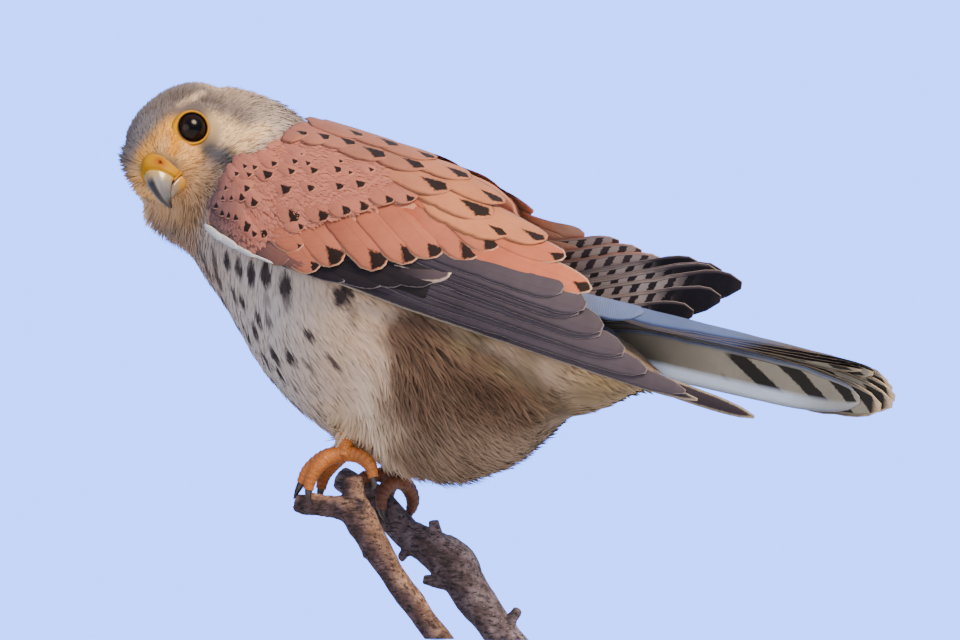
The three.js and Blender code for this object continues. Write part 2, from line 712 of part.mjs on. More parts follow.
const kestrel = new THREE.Group();
function place(name, made, look) {
  const mesh = made.getMesh();
  const geometry = new THREE.BufferGeometry()
    .setAttribute("position", new THREE.BufferAttribute(new Float32Array(mesh.vertProperties), 3))
    .setIndex(new THREE.BufferAttribute(new Uint32Array(mesh.triVerts), 1));
  geometry.computeVertexNormals();
  const [color, roughness] = LOOKS[look];
  const metalness = look === "steel" ? 1 : 0;
  const node = new THREE.Mesh(geometry, new THREE.MeshStandardMaterial({ color, roughness, metalness }));
  node.name = name;
  kestrel.add(node);
  return made;
}

// Flesh: the whole of head, neck and trunk, parted by two thin cuts.
const bodySolids = (grow) => [trunkSolid(grow), skullSolid(grow), ...Object.values(LEGS).map((leg) => thighSolid(leg, grow))];
const whole = joined(bodySolids(0));
const NECK_BACK = bodyPoint(-60, 0, 0);
const HEAD_BACK = HEAD.clone().addScaledVector(A, 17);
const headWay = A.clone().negate();
const HUGE = 400;
const behind = (from) => slab(from, A, HUGE, HUGE);
const ahead = (from) => slab(from, headWay, HUGE, HUGE);
const shift = (p, by) => p.clone().addScaledVector(A, by);

const torso = largest(whole.intersect(behind(NECK_BACK)));
const neck = largest(whole.intersect(ahead(shift(NECK_BACK, -GAP))).intersect(behind(HEAD_BACK)));
const headWhole = largest(whole.intersect(ahead(shift(HEAD_BACK, -GAP))));
const eyeCuts = [1, -1].map(socketSolid);
const billCuts = [cereSolid(GAP), lowerBillSolid(GAP), billShell(CERE_END, 1, GAP, 8)];

place("torso", torso, "buff");
place("neck", neck, "grey");
place("head", cutBy(headWhole, ...eyeCuts, ...billCuts), "grey");
for (const [name, side] of [["left", 1], ["right", -1]]) {
  place(`eye_${name}`, eyeSolid(side), "eye");
  place(`eyelid_${name}`, ringSolid(side), "yellow");
}
const lowerBill = lowerBillSolid(0);
place("cere", cutBy(cereSolid(0), lowerBillSolid(GAP)), "yellow");
place("beak_upper", cutBy(billShell(CERE_END, 1, 0, 10), cereSolid(GAP), lowerBillSolid(GAP)), "horn");
place("beak_lower", lowerBill, "horn");

const flesh = bodySolids(GAP);
for (const [name, wing] of Object.entries(WINGS)) {
  const at = (x, z, height) => onSheet(wing, x, z, height);
  const rows = [...FLIGHT[name], ...TERTIALS, ...GREATER_COVERTS, ...MEDIAN_COVERTS, ...SCAPULARS];
  const vanes = rows.map((row) => vane(at, row));
  place(`wing_${name}`, cutBy(joined([wingCore(wing), ...vanes]), ...flesh), "rufous");
}
const tailVanes = [...TAIL_FEATHERS, ...TAIL_COVERTS].map((row) => vane(tailPoint, row, 0));
place("tail", cutBy(joined([tailCore(), ...tailVanes]), ...flesh), "slate");

const perch = [frontPerch(GAP), rearPerch(GAP)];
for (const [name, leg] of Object.entries(LEGS)) {
  place(`tarsus_${name}`, cutBy(tarsusSolid(leg, 0), ...flesh, ...perch), "foot");
  const toes = TOES[name].map((toe) => toeSolid(leg, toe, 0));
  place(`foot_${name}`, cutBy(joined(toes), tarsusSolid(leg, GAP), ...flesh, ...perch), "foot");
  for (const toe of TOES[name]) place(`claw_${name}_${toe.name}`, cutBy(clawSolid(toe), ...perch), "claw");
}

place("perch_front", cutBy(frontPerch(0), below), "bark");
place("perch_rear", cutBy(rearPerch(0), below, frontPerch(GAP)), "bark");
place("stand_base", baseSolid(), "board");
place("stand_rod_front", rodSolid(RODS.front), "steel");
place("stand_rod_rear", rodSolid(RODS.rear), "steel");

export default kestrel;
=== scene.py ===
"""Looks of a life-size male common kestrel on a forked twig, held by a plain display stand.

Lengths are in millimetres until a mesh is made. The bird faces -X, and its left side is towards -Y.
"""

import bmesh
import bpy
import numpy as np
from mathutils import Matrix


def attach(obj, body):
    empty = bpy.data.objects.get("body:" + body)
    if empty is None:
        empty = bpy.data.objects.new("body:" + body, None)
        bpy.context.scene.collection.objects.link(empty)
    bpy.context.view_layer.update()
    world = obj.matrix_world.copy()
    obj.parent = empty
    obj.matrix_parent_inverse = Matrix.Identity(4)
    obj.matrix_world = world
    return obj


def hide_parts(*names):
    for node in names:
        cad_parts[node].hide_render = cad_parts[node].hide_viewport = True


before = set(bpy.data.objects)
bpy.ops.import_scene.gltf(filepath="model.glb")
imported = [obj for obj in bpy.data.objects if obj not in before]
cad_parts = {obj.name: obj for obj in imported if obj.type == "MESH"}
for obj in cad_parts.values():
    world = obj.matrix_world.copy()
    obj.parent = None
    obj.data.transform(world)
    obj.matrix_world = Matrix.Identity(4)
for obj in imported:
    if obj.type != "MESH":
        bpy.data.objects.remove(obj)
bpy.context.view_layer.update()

# Camera. A long lens from a little below the bird's feet and 22 degrees ahead of square on, as in the photograph.
# Its picture is 960 pixels wide and shows 355.6 mm at the bird, so that one millimetre is 2.7 pixels.
MM = 0.001
AIM = np.array([44.0, 0.0, 206.0])
AWAY = 1400.0
SEEN = 960 / 2.7
FILM = 36


def axes(azimuth, elevation):
    """Right, up and back of a viewer who stands azimuth degrees round from -Y towards +X and elevation degrees
    above."""
    a, e = np.radians([azimuth, elevation])
    right = [np.cos(a), np.sin(a), 0]
    up = [-np.sin(a) * np.sin(e), np.cos(a) * np.sin(e), np.cos(e)]
    back = [np.sin(a) * np.cos(e), -np.cos(a) * np.cos(e), np.sin(e)]
    return np.array([right, up, back])


def stood(name, data, azimuth, elevation, distance):
    """A camera or lamp that looks at the aim from that direction and distance."""
    obj = bpy.data.objects.new(name, data)
    bpy.context.scene.collection.objects.link(obj)
    turn = axes(azimuth, elevation)
    obj.matrix_world = Matrix.Translation((AIM + turn[2] * distance) * MM) @ Matrix(turn.T.tolist()).to_4x4()
    return obj


lens = bpy.data.cameras.new("camera")
lens.sensor_width = FILM
lens.lens = FILM * AWAY / SEEN
lens.clip_start = 0.05
lens.clip_end = 20
bpy.context.scene.camera = stood("camera", lens, 22, -6, AWAY)


# Studio. A pale floor, a pale blue wall of light all round, a large warm key lamp high on the right
# and two weak fills, soft enough that feathers keep their own colours in the shade.


def linear(code):
    """Linear red, green and blue of an sRGB hex colour: c / 12.92 below 0.04045, else ((c + 0.055) / 1.055) ** 2.4."""
    c = np.array([int(code[i : i + 2], 16) for i in (0, 2, 4)]) / 255
    return np.where(c <= 0.04045, c / 12.92, ((c + 0.055) / 1.055) ** 2.4)


def node(material, kind, *inputs, into=(), **settings):
    """Adds a node. Its inputs in order, then those by name, are numbers, hex colours, sockets, or nodes whose first
    output is used."""
    made = material.node_tree.nodes.new(kind)
    for key, value in settings.items():
        setattr(made, key, value)
    for key, value in [*enumerate(inputs), *dict(into).items()]:
        if isinstance(value, bpy.types.Node):
            value = value.outputs[0]
        if isinstance(value, bpy.types.NodeSocket):
            material.node_tree.links.new(value, made.inputs[key])
        else:
            made.inputs[key].default_value = (*linear(value), 1) if isinstance(value, str) else value
    return made


def finish(name):
    """An empty material with nodes."""
    made = bpy.data.materials.new(name)
    made.use_nodes = True
    made.node_tree.nodes.clear()
    return made


def closed(material, **sockets):
    """Ends a material in the shader with those sockets, where an underscore stands for a space."""
    named = {key.replace("_", " "): value for key, value in sockets.items()}
    shader = node(material, "ShaderNodeBsdfPrincipled", into=named)
    node(material, "ShaderNodeOutputMaterial", shader)
    return material


for name, azimuth, elevation, distance, size, power, colour in (
    ("key_lamp", 58, 44, 1900, 0.8, 76, "FFE2BC"),
    ("face_fill", 0, 8, 1700, 1.2, 11, "FFEBD4"),
    ("back_fill", 200, 35, 1900, 1.4, 14, "F2F6FF"),
):
    lamp = bpy.data.lights.new(name, "AREA")
    lamp.shape = "DISK"
    lamp.size = size
    lamp.energy = power
    lamp.color = linear(colour)
    stood(name, lamp, azimuth, elevation, distance)

wall = bpy.data.worlds.new("pale_wall")
wall.use_nodes = True
wall.node_tree.nodes.clear()
# The wall is seen in the photograph's pale sky blue, which the display's soft shoulder washes out, so the value here
# is far bluer; it lights the bird with a paler one.
seen = node(wall, "ShaderNodeBackground", "638DFF", 5.66)
lit = node(wall, "ShaderNodeBackground", "A6BDF4", 0.66)
ray = node(wall, "ShaderNodeLightPath").outputs["Is Camera Ray"]
node(wall, "ShaderNodeOutputWorld", node(wall, "ShaderNodeMixShader", ray, lit, seen))
bpy.context.scene.world = wall

bpy.ops.mesh.primitive_plane_add(size=4, location=(0, 0, 0))
floor = bpy.context.object
floor.name = "floor"
# Matt painted board, pale grey: no gloss and almost no grain.
painted = finish("painted_floor")
floor.data.materials.append(closed(painted, Base_Color="D6D9DE", Roughness=0.85))

# Stand. A bevelled board of dark stained beech with a satin lacquer, and two turned steel rods
# glued into it, which hold the sawn twig. The board is the CAD solid with this finish.
beech = finish("stained_beech")
where = node(beech, "ShaderNodeTexCoord").outputs["Object"]
# Beech's short dark flecks and its grain run along the board, about 2 mm apart.
long_grain = node(beech, "ShaderNodeMapping", where, into={"Scale": (60, 700, 700)})
grain = node(beech, "ShaderNodeTexNoise", long_grain, into={"Scale": 1, "Detail": 6, "Roughness": 0.6})
stain = node(beech, "ShaderNodeMixRGB", grain.outputs["Fac"], "1E1916", "54453A")
raised = node(beech, "ShaderNodeBump", into={"Strength": 0.25, "Distance": 0.0002, "Height": grain.outputs["Fac"]})
closed(beech, Base_Color=stain, Roughness=0.38, Coat_Weight=0.25, Coat_Roughness=0.25, Normal=raised)
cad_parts["stand_base"].data.materials.clear()
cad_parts["stand_base"].data.materials.append(beech)


def piece(name, points, *faces):
    """A smooth mesh object from points in millimetres and arrays of faces, each array with its own count of corners."""
    mesh = bpy.data.meshes.new(name)
    faces = [f for f in faces if len(f)]
    corners = np.concatenate([f.ravel() for f in faces]).astype(np.int32)
    counts = np.concatenate([np.full(len(f), f.shape[1]) for f in faces])
    mesh.vertices.add(len(points))
    mesh.vertices.foreach_set("co", (points * MM).astype(np.float32).ravel())
    mesh.loops.add(len(corners))
    mesh.loops.foreach_set("vertex_index", corners)
    mesh.polygons.add(len(counts))
    mesh.polygons.foreach_set("loop_start", np.concatenate([[0], np.cumsum(counts)[:-1]]).astype(np.int32))
    mesh.update(calc_edges=True)
    mesh.shade_smooth()
    obj = bpy.data.objects.new(name, mesh)
    bpy.context.scene.collection.objects.link(obj)
    return obj


def fitted(obj, material, slot, *nodes):
    """Gives a piece its material, hangs it under the root body and lets it stand for CAD nodes, which it hides; its
    slot is not used.
    """
    obj.data.materials.append(material)
    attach(obj, "root")
    if nodes:
        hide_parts(*nodes)


def tinted(obj, colours, name="tint"):
    """Gives each point of a piece its linear colour, as an attribute that its material reads."""
    held = obj.data.attributes.new(name, "FLOAT_COLOR", "POINT")
    held.data.foreach_set("color", np.column_stack([colours, np.ones(len(colours))]).astype(np.float32).ravel())
    return obj


def bands(rings, around):
    """Quads between rings of equal counts: each joins two neighbours on a ring to the same two on the next."""
    j = np.arange(around)
    k = (j + 1) % around
    i = np.arange(rings - 1)[:, None] * around
    return np.stack([i + j, i + k, i + around + k, i + around + j], -1).reshape(-1, 4)


def shell(rings):
    """Closed surface over rings of equal counts: quads between neighbours, and a fan to the middle of each end.
    Its volume is the sum of corner . (corner x corner) / 6 over its triangles; if negative, the faces are turned."""
    m, n, _ = rings.shape
    quads = bands(m, n)
    fans = np.concatenate([quads[:n, [1, 0, 0]], quads[-n:, [3, 2, 2]]])
    fans[:, 2] = np.repeat([m * n, m * n + 1], n)
    points = np.concatenate([rings.reshape(-1, 3), [rings[0].mean(0), rings[-1].mean(0)]])
    away = points - points.mean(0)
    tris = np.concatenate([quads[:, :3], quads[:, [0, 2, 3]], fans])
    a, b, c = (away[tris[:, t]] for t in range(3))
    if np.einsum("ij,ij->", a, np.cross(b, c)) < 0:
        quads, fans = quads[:, ::-1], fans[:, ::-1]
    return points, quads, fans


def together(shells):
    """One set of points, quads and triangles from several shells."""
    starts = np.cumsum([0] + [len(s[0]) for s in shells])
    points = np.concatenate([s[0] for s in shells])
    return points, *(np.concatenate([s[f] + start for s, start in zip(shells, starts)]) for f in (1, 2))


def read(rows, at):
    """Smooth reading of rows [place, size, size...]: through each column goes a Catmull-Rom curve,
    (2t3 - 3t2 + 1) p0 + (t3 - 2t2 + t) m0 + (3t2 - 2t3) p1 + (t3 - t2) m1, m being half the step past each side."""
    rows = np.asarray(rows, float)
    at = np.asarray(at, float)
    last = len(rows) - 1
    i = np.clip(np.searchsorted(rows[:, 0], at, side="right") - 1, 0, last - 1)
    t = np.clip((at - rows[i, 0]) / (rows[i + 1, 0] - rows[i, 0]), 0, 1)[..., None]
    before, p0, p1, after = (rows[np.clip(i + step, 0, last), 1:] for step in (-1, 0, 1, 2))
    m0 = (p1 - before) / 2
    m1 = (after - p0) / 2
    return (2 * t**3 - 3 * t**2 + 1) * p0 + (t**3 - 2 * t**2 + t) * m0 + (3 * t**2 - 2 * t**3) * p1 + (t**3 - t**2) * m1


def span(vectors):
    """Length of each vector."""
    return np.linalg.norm(vectors, axis=-1)


def unit(vectors):
    """Vectors at length one."""
    return vectors / np.maximum(span(vectors)[..., None], 1e-9)


def circle(count):
    """That many angles round a full turn, in radians."""
    return np.linspace(0, 2 * np.pi, count, endpoint=False)


Y = np.array([0, 1, 0])  # the way from the bird's left to its right


def tube(rows, steps, around):
    """A round tube through rows [x, y, z, radius]: circles square to a Catmull-Rom path."""
    rows = np.asarray(rows, float)
    numbered = np.column_stack([np.arange(len(rows)), rows])
    path = read(numbered, np.linspace(0, len(rows) - 1, steps))
    way = unit(np.gradient(path[:, :3], axis=0))
    side = unit(Y - way * way[:, 1:2])
    up = np.cross(way, side)
    turn = circle(around)[None, :, None]
    return path[:, None, :3] + path[:, None, 3:] * (np.cos(turn) * side[:, None] + np.sin(turn) * up[:, None])


ROD_RADIUS = 3.2
RODS = {"front": (34.6, -18), "rear": (52, 11)}
ROD_FOOT, ROD_TOP = 12.3, 87.7
ROD_BEVEL = 0.4
steel = finish("turned_steel")
# Fine rings from the lathe, about 0.4 mm apart, drawn twice as coarse as real ones so that they show.
rise = node(steel, "ShaderNodeSeparateXYZ", node(steel, "ShaderNodeTexCoord").outputs["Object"]).outputs["Z"]
turned = node(steel, "ShaderNodeMath", rise, 15000.0, operation="MULTIPLY")
ring = node(steel, "ShaderNodeMath", turned, operation="SINE")
cut = node(steel, "ShaderNodeBump", into={"Strength": 0.08, "Distance": 0.00005, "Height": ring})
closed(steel, Base_Color="B9BBBE", Metallic=1.0, Roughness=0.3, Normal=cut)
for name, (x, y) in RODS.items():
    level = np.array([ROD_FOOT, ROD_FOOT + ROD_BEVEL, ROD_TOP - ROD_BEVEL, ROD_TOP])[:, None]
    radius = (ROD_RADIUS - np.array([ROD_BEVEL, 0, 0, ROD_BEVEL]))[:, None]
    turn = circle(48)
    rings = np.stack([x + radius * np.cos(turn), y + radius * np.sin(turn), level + 0 * turn], -1)
    fitted(piece(f"rod_{name}", *shell(rings)), steel, "stand_steel", f"stand_rod_{name}")

# Perch. Two stems of a forked fruit twig with knots and buds, in grey-brown bark that is cracked along
# the stem, painted warmer and lighter on its lit side and darker in its shade; sawn off level where the rods hold them.
TWIGS = {
    "front": (
        [[-21.5, -19, 138.8, 3.4], [-15, -19, 138, 4.2], [-6, -18.5, 136.8, 4.6], [1.5, -18, 134.5, 5.8],
         [8, -18, 124.5, 5.4], [19, -18, 108.5, 4.6], [30.4, -18, 94.5, 4.4], [39.2, -18, 83, 4.3]],
        [[2, -18, 132, 4.8], [1.5, -18, 141, 4.4], [0.5, -18, 147.5, 3.9]],
        [[5, -19, 133, 3.3], [5.8, -20.2, 136.5, 3.1], [6.5, -21.5, 140, 1.8]],
        [[11, -18, 120, 2.2], [8, -18.5, 119.2, 2.1], [5, -19, 118.5, 1.2]],
    ),
    "rear": (
        [[-17, 9, 149.5, 4.2], [-10, 9.5, 145.4, 5.4], [0, 10, 139, 5.7], [11, 10, 128, 6],
         [27.8, 10.5, 118, 8.3], [35.2, 11, 107, 7.4], [43.8, 11, 95.5, 6.8], [55.5, 11, 82, 6.6]],
        [[24.5, 8, 121, 3.4], [23.8, 6.5, 127, 3.2], [23.6, 5, 132.5, 2]],
        [[49, 10, 92, 2.6], [52.5, 9.5, 95.5, 2.5], [55.5, 9, 99.5, 1.5]],
        [[14, 9, 125, 2.4], [11.5, 8, 121.5, 2.3], [9, 7, 118, 1.3]],
        [[30, 9, 108, 2.5], [24, 8, 109.5, 2.3], [18.5, 7, 110.5, 1.6]],
    ),
}
SAWN = 88.0


def fused(shells, voxel, rounds):
    """One closed skin over shells that overlap: rebuilt on cubes of voxel mm, then evened out that many times.
    Gives its points in millimetres and its quads."""
    draft = piece("draft", *together(shells))
    rebuild = draft.modifiers.new("rebuild", "REMESH")
    rebuild.mode = "VOXEL"
    rebuild.voxel_size = voxel * MM
    even = draft.modifiers.new("even", "SMOOTH")
    even.factor = 0.5
    even.iterations = rounds
    mesh = bpy.data.meshes.new_from_object(draft.evaluated_get(bpy.context.evaluated_depsgraph_get()))
    points = np.empty(len(mesh.vertices) * 3, np.float32)
    mesh.vertices.foreach_get("co", points)
    corners = np.empty(len(mesh.loops), np.int32)
    mesh.loops.foreach_get("vertex_index", corners)
    bpy.data.objects.remove(draft)
    bpy.data.meshes.remove(mesh)
    return points.reshape(-1, 3).astype(float) / MM, corners.reshape(-1, 4)


def relief(points, size, seed):
    """Smooth random relief from -1 to 1: a hashed value at each corner of cubes of that size, blended by 3t2 - 2t3."""
    p = np.asarray(points) / size
    base = np.floor(p).astype(np.int64)
    t = p - base
    t = t * t * (3 - 2 * t)
    total = 0
    for corner in np.ndindex(2, 2, 2):
        c = base + corner
        mixed = c[..., 0] * 73856093 ^ c[..., 1] * 19349663 ^ c[..., 2] * 83492791 ^ seed * 40503
        mixed = (mixed ^ (mixed >> 13)) * 1274126177 & 0xFFFFFF
        total = total + np.prod(np.where(corner, t, 1 - t), -1) * (mixed / 0x800000 - 1)
    return total


def facing(points, quads):
    """Outward direction at each point: the sum of its quads' diagonal cross products."""
    p = points[quads]
    flat = np.cross(p[:, 2] - p[:, 0], p[:, 3] - p[:, 1])
    total = np.zeros_like(points)
    for corner in range(4):
        np.add.at(total, quads[:, corner], flat)
    return unit(total)


bark = finish("fruit_twig_bark")
where = node(bark, "ShaderNodeTexCoord").outputs["Object"]
# Lichen-grey over brown in patches of a few millimetres, and dark cracks 1 to 2 mm apart that run down the stem.
turned = node(bark, "ShaderNodeMapping", where, into={"Rotation": (0, -0.92, 0), "Scale": (260, 900, 900)})
cracks = node(bark, "ShaderNodeTexNoise", turned, into={"Scale": 1, "Detail": 8, "Roughness": 0.65})
patches = node(bark, "ShaderNodeTexNoise", where, into={"Scale": 170, "Detail": 5, "Roughness": 0.6})
specks = node(bark, "ShaderNodeTexVoronoi", where, into={"Scale": 520})
rind = node(bark, "ShaderNodeValToRGB", patches.outputs["Fac"])
tones = rind.color_ramp.elements
tones.new(0.5)
for tone, place, code in zip(tones, (0.36, 0.5, 0.66), ("473B3C", "63575A", "84797A")):
    tone.position, tone.color = place, (*linear(code), 1)
depth = node(bark, "ShaderNodeMapRange", cracks.outputs["Fac"], 0.38, 0.52, 0.0, 1.0)
cracked = node(bark, "ShaderNodeMixRGB", depth, "1C171A", rind)
pale = node(bark, "ShaderNodeMath", specks.outputs["Distance"], 0.16, operation="LESS_THAN")
part = node(bark, "ShaderNodeMath", pale, 0.3, operation="MULTIPLY")
flecked = node(bark, "ShaderNodeMixRGB", part, cracked, "9C9090")
# Each twig's points carry a tone of painted light and shade, which multiplies the bark's colour.
painted_light_tone = node(bark, "ShaderNodeAttribute", attribute_name="tint").outputs["Color"]
flecked = node(bark, "ShaderNodeMixRGB", 1.0, flecked, painted_light_tone, blend_type="MULTIPLY")
rough = node(bark, "ShaderNodeBump", into={"Strength": 0.9, "Distance": 0.0006, "Height": cracks.outputs["Fac"]})
closed(bark, Base_Color=flecked, Roughness=0.88, Normal=rough)

# Painted light and shade of each twig: its tone where it looks up and towards the tail, and where it looks down and
# towards the bill. The painted light's share grows with height over the fork, with the way the bark looks, and in
# patches 6 mm across.
TWIG_PAINTED_LIGHT = {"front": ([1.65, 1.25, 0.82], [0.5, 0.39, 0.42]), "rear": ([1.25, 1.32, 1.48], [0.66, 0.64, 0.76])}
LIT_WAY = [0.75, 0.2, 0.63]
LIT_LEAST, LIT_BY_HEIGHT, LIT_BY_WAY, LIT_BY_PATCH = 0.08, 0.42, 0.95, 0.45
FORK_FOOT, FORK_HEIGHT = 122, 22
STEM = np.array([0.62, 0, -0.78])  # way down both stems, a slope of about 52 degrees
STRETCH = 0.72

for name, shoots in TWIGS.items():
    tubes = [tube(rows, 90 if len(rows) > 3 else 24, 36) for rows in shoots]
    points, quads = fused([shell(t) for t in tubes], voxel=0.62, rounds=3)
    out = facing(points, quads)
    # Bark ridges: relief stretched along the stem, with small knobs over it.
    drawn = points - STEM * (points @ STEM * STRETCH)[:, None]
    ridges = 0.42 * relief(drawn, 2.4, 3) + 0.24 * relief(drawn, 1.1, 5) + 0.55 * relief(points, 7.5, 8)
    points = points + out * (ridges - 0.15)[:, None]
    twig = piece(f"twig_{name}", points, quads)
    lit_tone, shade_tone = (np.array(tone) for tone in TWIG_PAINTED_LIGHT[name])
    share = LIT_LEAST + LIT_BY_HEIGHT * np.clip((points[:, 2] - FORK_FOOT) / FORK_HEIGHT, 0, 1)
    share = share + LIT_BY_WAY * (out @ LIT_WAY) + LIT_BY_PATCH * relief(points, 6, 9)
    tinted(twig, shade_tone + (lit_tone - shade_tone) * np.clip(share, 0, 1)[:, None])
    work = bmesh.new()
    work.from_mesh(twig.data)
    everything = [*work.verts, *work.edges, *work.faces]
    level = {"plane_co": (0, 0, SAWN * MM), "plane_no": (0, 0, -1), "clear_outer": True}
    sawn = bmesh.ops.bisect_plane(work, geom=everything, **level)
    rim = [e for e in sawn["geom_cut"] if isinstance(e, bmesh.types.BMEdge)]
    bmesh.ops.holes_fill(work, edges=rim)
    work.to_mesh(twig.data)
    work.free()
    fitted(twig, bark, "bark", f"perch_{name}")


# Skin. One soft skin from the brow to the vent and down both thighs, inside the solids of torso, neck and head
# by the depth of the feathers that grow on it. It shows only as the shade between them.


def sloped(degrees):
    """Unit vectors along a line that falls towards the tail by that angle, and up square to it."""
    slope = np.radians(degrees)
    return np.array([[np.cos(slope), 0, -np.sin(slope)], [np.sin(slope), 0, np.cos(slope)]])


def set_out(origin, line, x, h, y):
    """Points at x along a line from its origin, h up from it and y to the bird's right."""
    return origin + x[..., None] * line[0] + h[..., None] * line[1] + y[..., None] * Y


BODY = np.array([-0.5, 0, 221])
BODY_LINE = sloped(30)
A, H = BODY_LINE
HEAD = np.array([-73.2, -14.7, 275.3])
HEAD_TURN, HEAD_NOD, HEAD_TILT = np.radians([86.4, 29.9, 29.8])
F = np.array([-np.cos(HEAD_TURN) * np.cos(HEAD_NOD), -np.sin(HEAD_TURN) * np.cos(HEAD_NOD), -np.sin(HEAD_NOD)])
LEVEL = np.array([np.sin(HEAD_TURN), -np.cos(HEAD_TURN), 0])
UPRIGHT = np.cross(F, LEVEL)
L = LEVEL * np.cos(HEAD_TILT) + UPRIGHT * np.sin(HEAD_TILT)
U = UPRIGHT * np.cos(HEAD_TILT) - LEVEL * np.sin(HEAD_TILT)
HEAD_AXES = np.array([F, U, L])  # ahead, up and to the bird's left
# Trunk rows: place along it, height of the back, depth of the belly, half width, shift to the side.
TRUNK = [
    [-104, 24, -9, 8, -4.5],
    [-100, 32, -15, 13, -4.5],
    [-93, 37.5, -19.5, 17, -4.5],
    [-85, 41, -21, 21, -4.5],
    [-74, 43, -23, 26, -3],
    [-60, 41.5, -29.5, 30.5, -1],
    [-42, 43, -38, 33.5, 0],
    [-20, 46.5, -49, 36, 0],
    [0, 49.5, -55, 37.5, 0],
    [20, 50, -56.5, 37, 0],
    [45, 46.5, -54, 34.5, 0],
    [64, 41, -48, 30.5, 0],
    [79, 33, -36.5, 25, 0],
    [86, 32, -23, 22, 0],
    [92, 31, -10, 18, 0],
    [101, 30, -1, 13.5, 0],
    [112, 28, 13, 8.5, 0],
    [117, 26.5, 19, 4.5, 0],
]
# Skull rows: place along it, height of the crown, depth of the throat, half width.
SKULL = [
    [-27, 3, -4, 4],
    [-25.5, 9, -9.5, 10],
    [-20, 15.9, -16.5, 18],
    [-10, 19.7, -21, 22.4],
    [0, 19.8, -22, 22.8],
    [8, 17.5, -20.8, 20.6],
    [13, 14.6, -18.2, 18.4],
    [16.5, 12, -14.5, 15],
    [19.2, 8.4, -10.6, 11],
    [21, 5.4, -7.6, 7.6],
    [21.6, 3.6, -6.6, 5],
]
SQUARE = 0.87
LEGS = {
    "left": {"hip": [10, -12, 184], "ankle": [-2, -17.5, 164], "foot": [-3, -18, 156.5]},
    "right": {"hip": [20, 13, 184], "ankle": [10.5, 10.5, 160], "foot": [8, 10, 147.5]},
}
THIGH = [12, 12, 10.5, 8.5, 5.5]
TRUNK_COAT, SKULL_COAT, THIGH_COAT = 1.7, 0.6, 2.2


def on_head(local):
    """Places in the head's frame as points of the whole bird."""
    return HEAD + local @ HEAD_AXES


def in_head(points):
    """Points as places in the head's frame."""
    return (points - HEAD) @ HEAD_AXES.T


def trunk(inset):
    """Ellipses square to the trunk's line: middle + half height * cos + half width * sin, all less the inset."""
    at = np.linspace(TRUNK[0][0] + inset, TRUNK[-1][0] - inset, 70)
    back, belly, half, aside = read(TRUNK, at).T[:, :, None]
    turn = circle(72)
    y = aside + (half - inset) * np.sin(turn)
    h = (back + belly) / 2 + ((back - belly) / 2 - inset) * np.cos(turn)
    return set_out(BODY, BODY_LINE, at[:, None], h, y)


def skull(inset):
    """Squared ellipses along the head's line: sign(cos) * |cos| ** 0.87 up, and the same of the sine out."""
    at = np.linspace(SKULL[0][0] + inset, SKULL[-1][0] - inset, 40)
    crown, throat, half = read(SKULL, at).T[:, :, None]
    turn = circle(60)
    rise, out = (np.sign(w) * np.abs(w) ** SQUARE for w in (np.cos(turn), np.sin(turn)))
    u = (crown + throat) / 2 + ((crown - throat) / 2 - inset) * rise
    return on_head(np.stack([at[:, None] + 0 * u, u, (half - inset) * out], -1))


def thigh(leg, inset):
    """A tapering tube from hip to ankle."""
    share = np.linspace(0, 1, 5)[:, None]
    line = np.array(leg["hip"]) * (1 - share) + np.array(leg["ankle"]) * share
    return tube(np.column_stack([line, np.array(THIGH) - inset]), 20, 32)


thighs = (thigh(leg, THIGH_COAT) for leg in LEGS.values())
forms = [shell(rings) for rings in (trunk(TRUNK_COAT), skull(SKULL_COAT), *thighs)]
skin, skin_quads = fused(forms, voxel=1.15, rounds=9)

# Eye and bill places, which the skin and the feathers leave free.
EYE_RADIUS = 7
EYE_PLACE = np.array([6.7, 2.8, 13.3])
EYE_AHEAD = np.radians(35)
EYES = {"left": 1, "right": -1}


def eye_frame(side):
    """Middle of the ball, and its axes: out through the pupil, up, and square to both."""
    middle = on_head(EYE_PLACE * [1, 1, side])
    out = L * side * np.cos(EYE_AHEAD) + F * np.sin(EYE_AHEAD)
    up = unit(U - out * (U @ out))
    return middle, out, up, np.cross(up, out)


def eye_reach(points, side):
    """Distance from the line of sight, for points in front of the ball's middle, or else 99."""
    middle, out, _, _ = eye_frame(side)
    away = points - middle
    ahead = away @ out
    return np.where(ahead > -1, span(away - ahead[..., None] * out), 99.0)


# A shallow pocket under the brow holds each ball: skin within its rim is pressed back to the pocket's floor, which
# lies ahead of the ball's middle, and less so over the last few millimetres.
POCKET_RIM, POCKET_SLOPE, POCKET_FLOOR = 9.5, 4, 2.5
for side in EYES.values():
    middle, out, _, _ = eye_frame(side)
    sunk = np.clip((POCKET_RIM - eye_reach(skin, side)) / POCKET_SLOPE, 0, 1)
    ahead = (skin - middle) @ out
    skin = skin - out * (np.maximum(ahead - POCKET_FLOOR, 0) * sunk)[:, None]

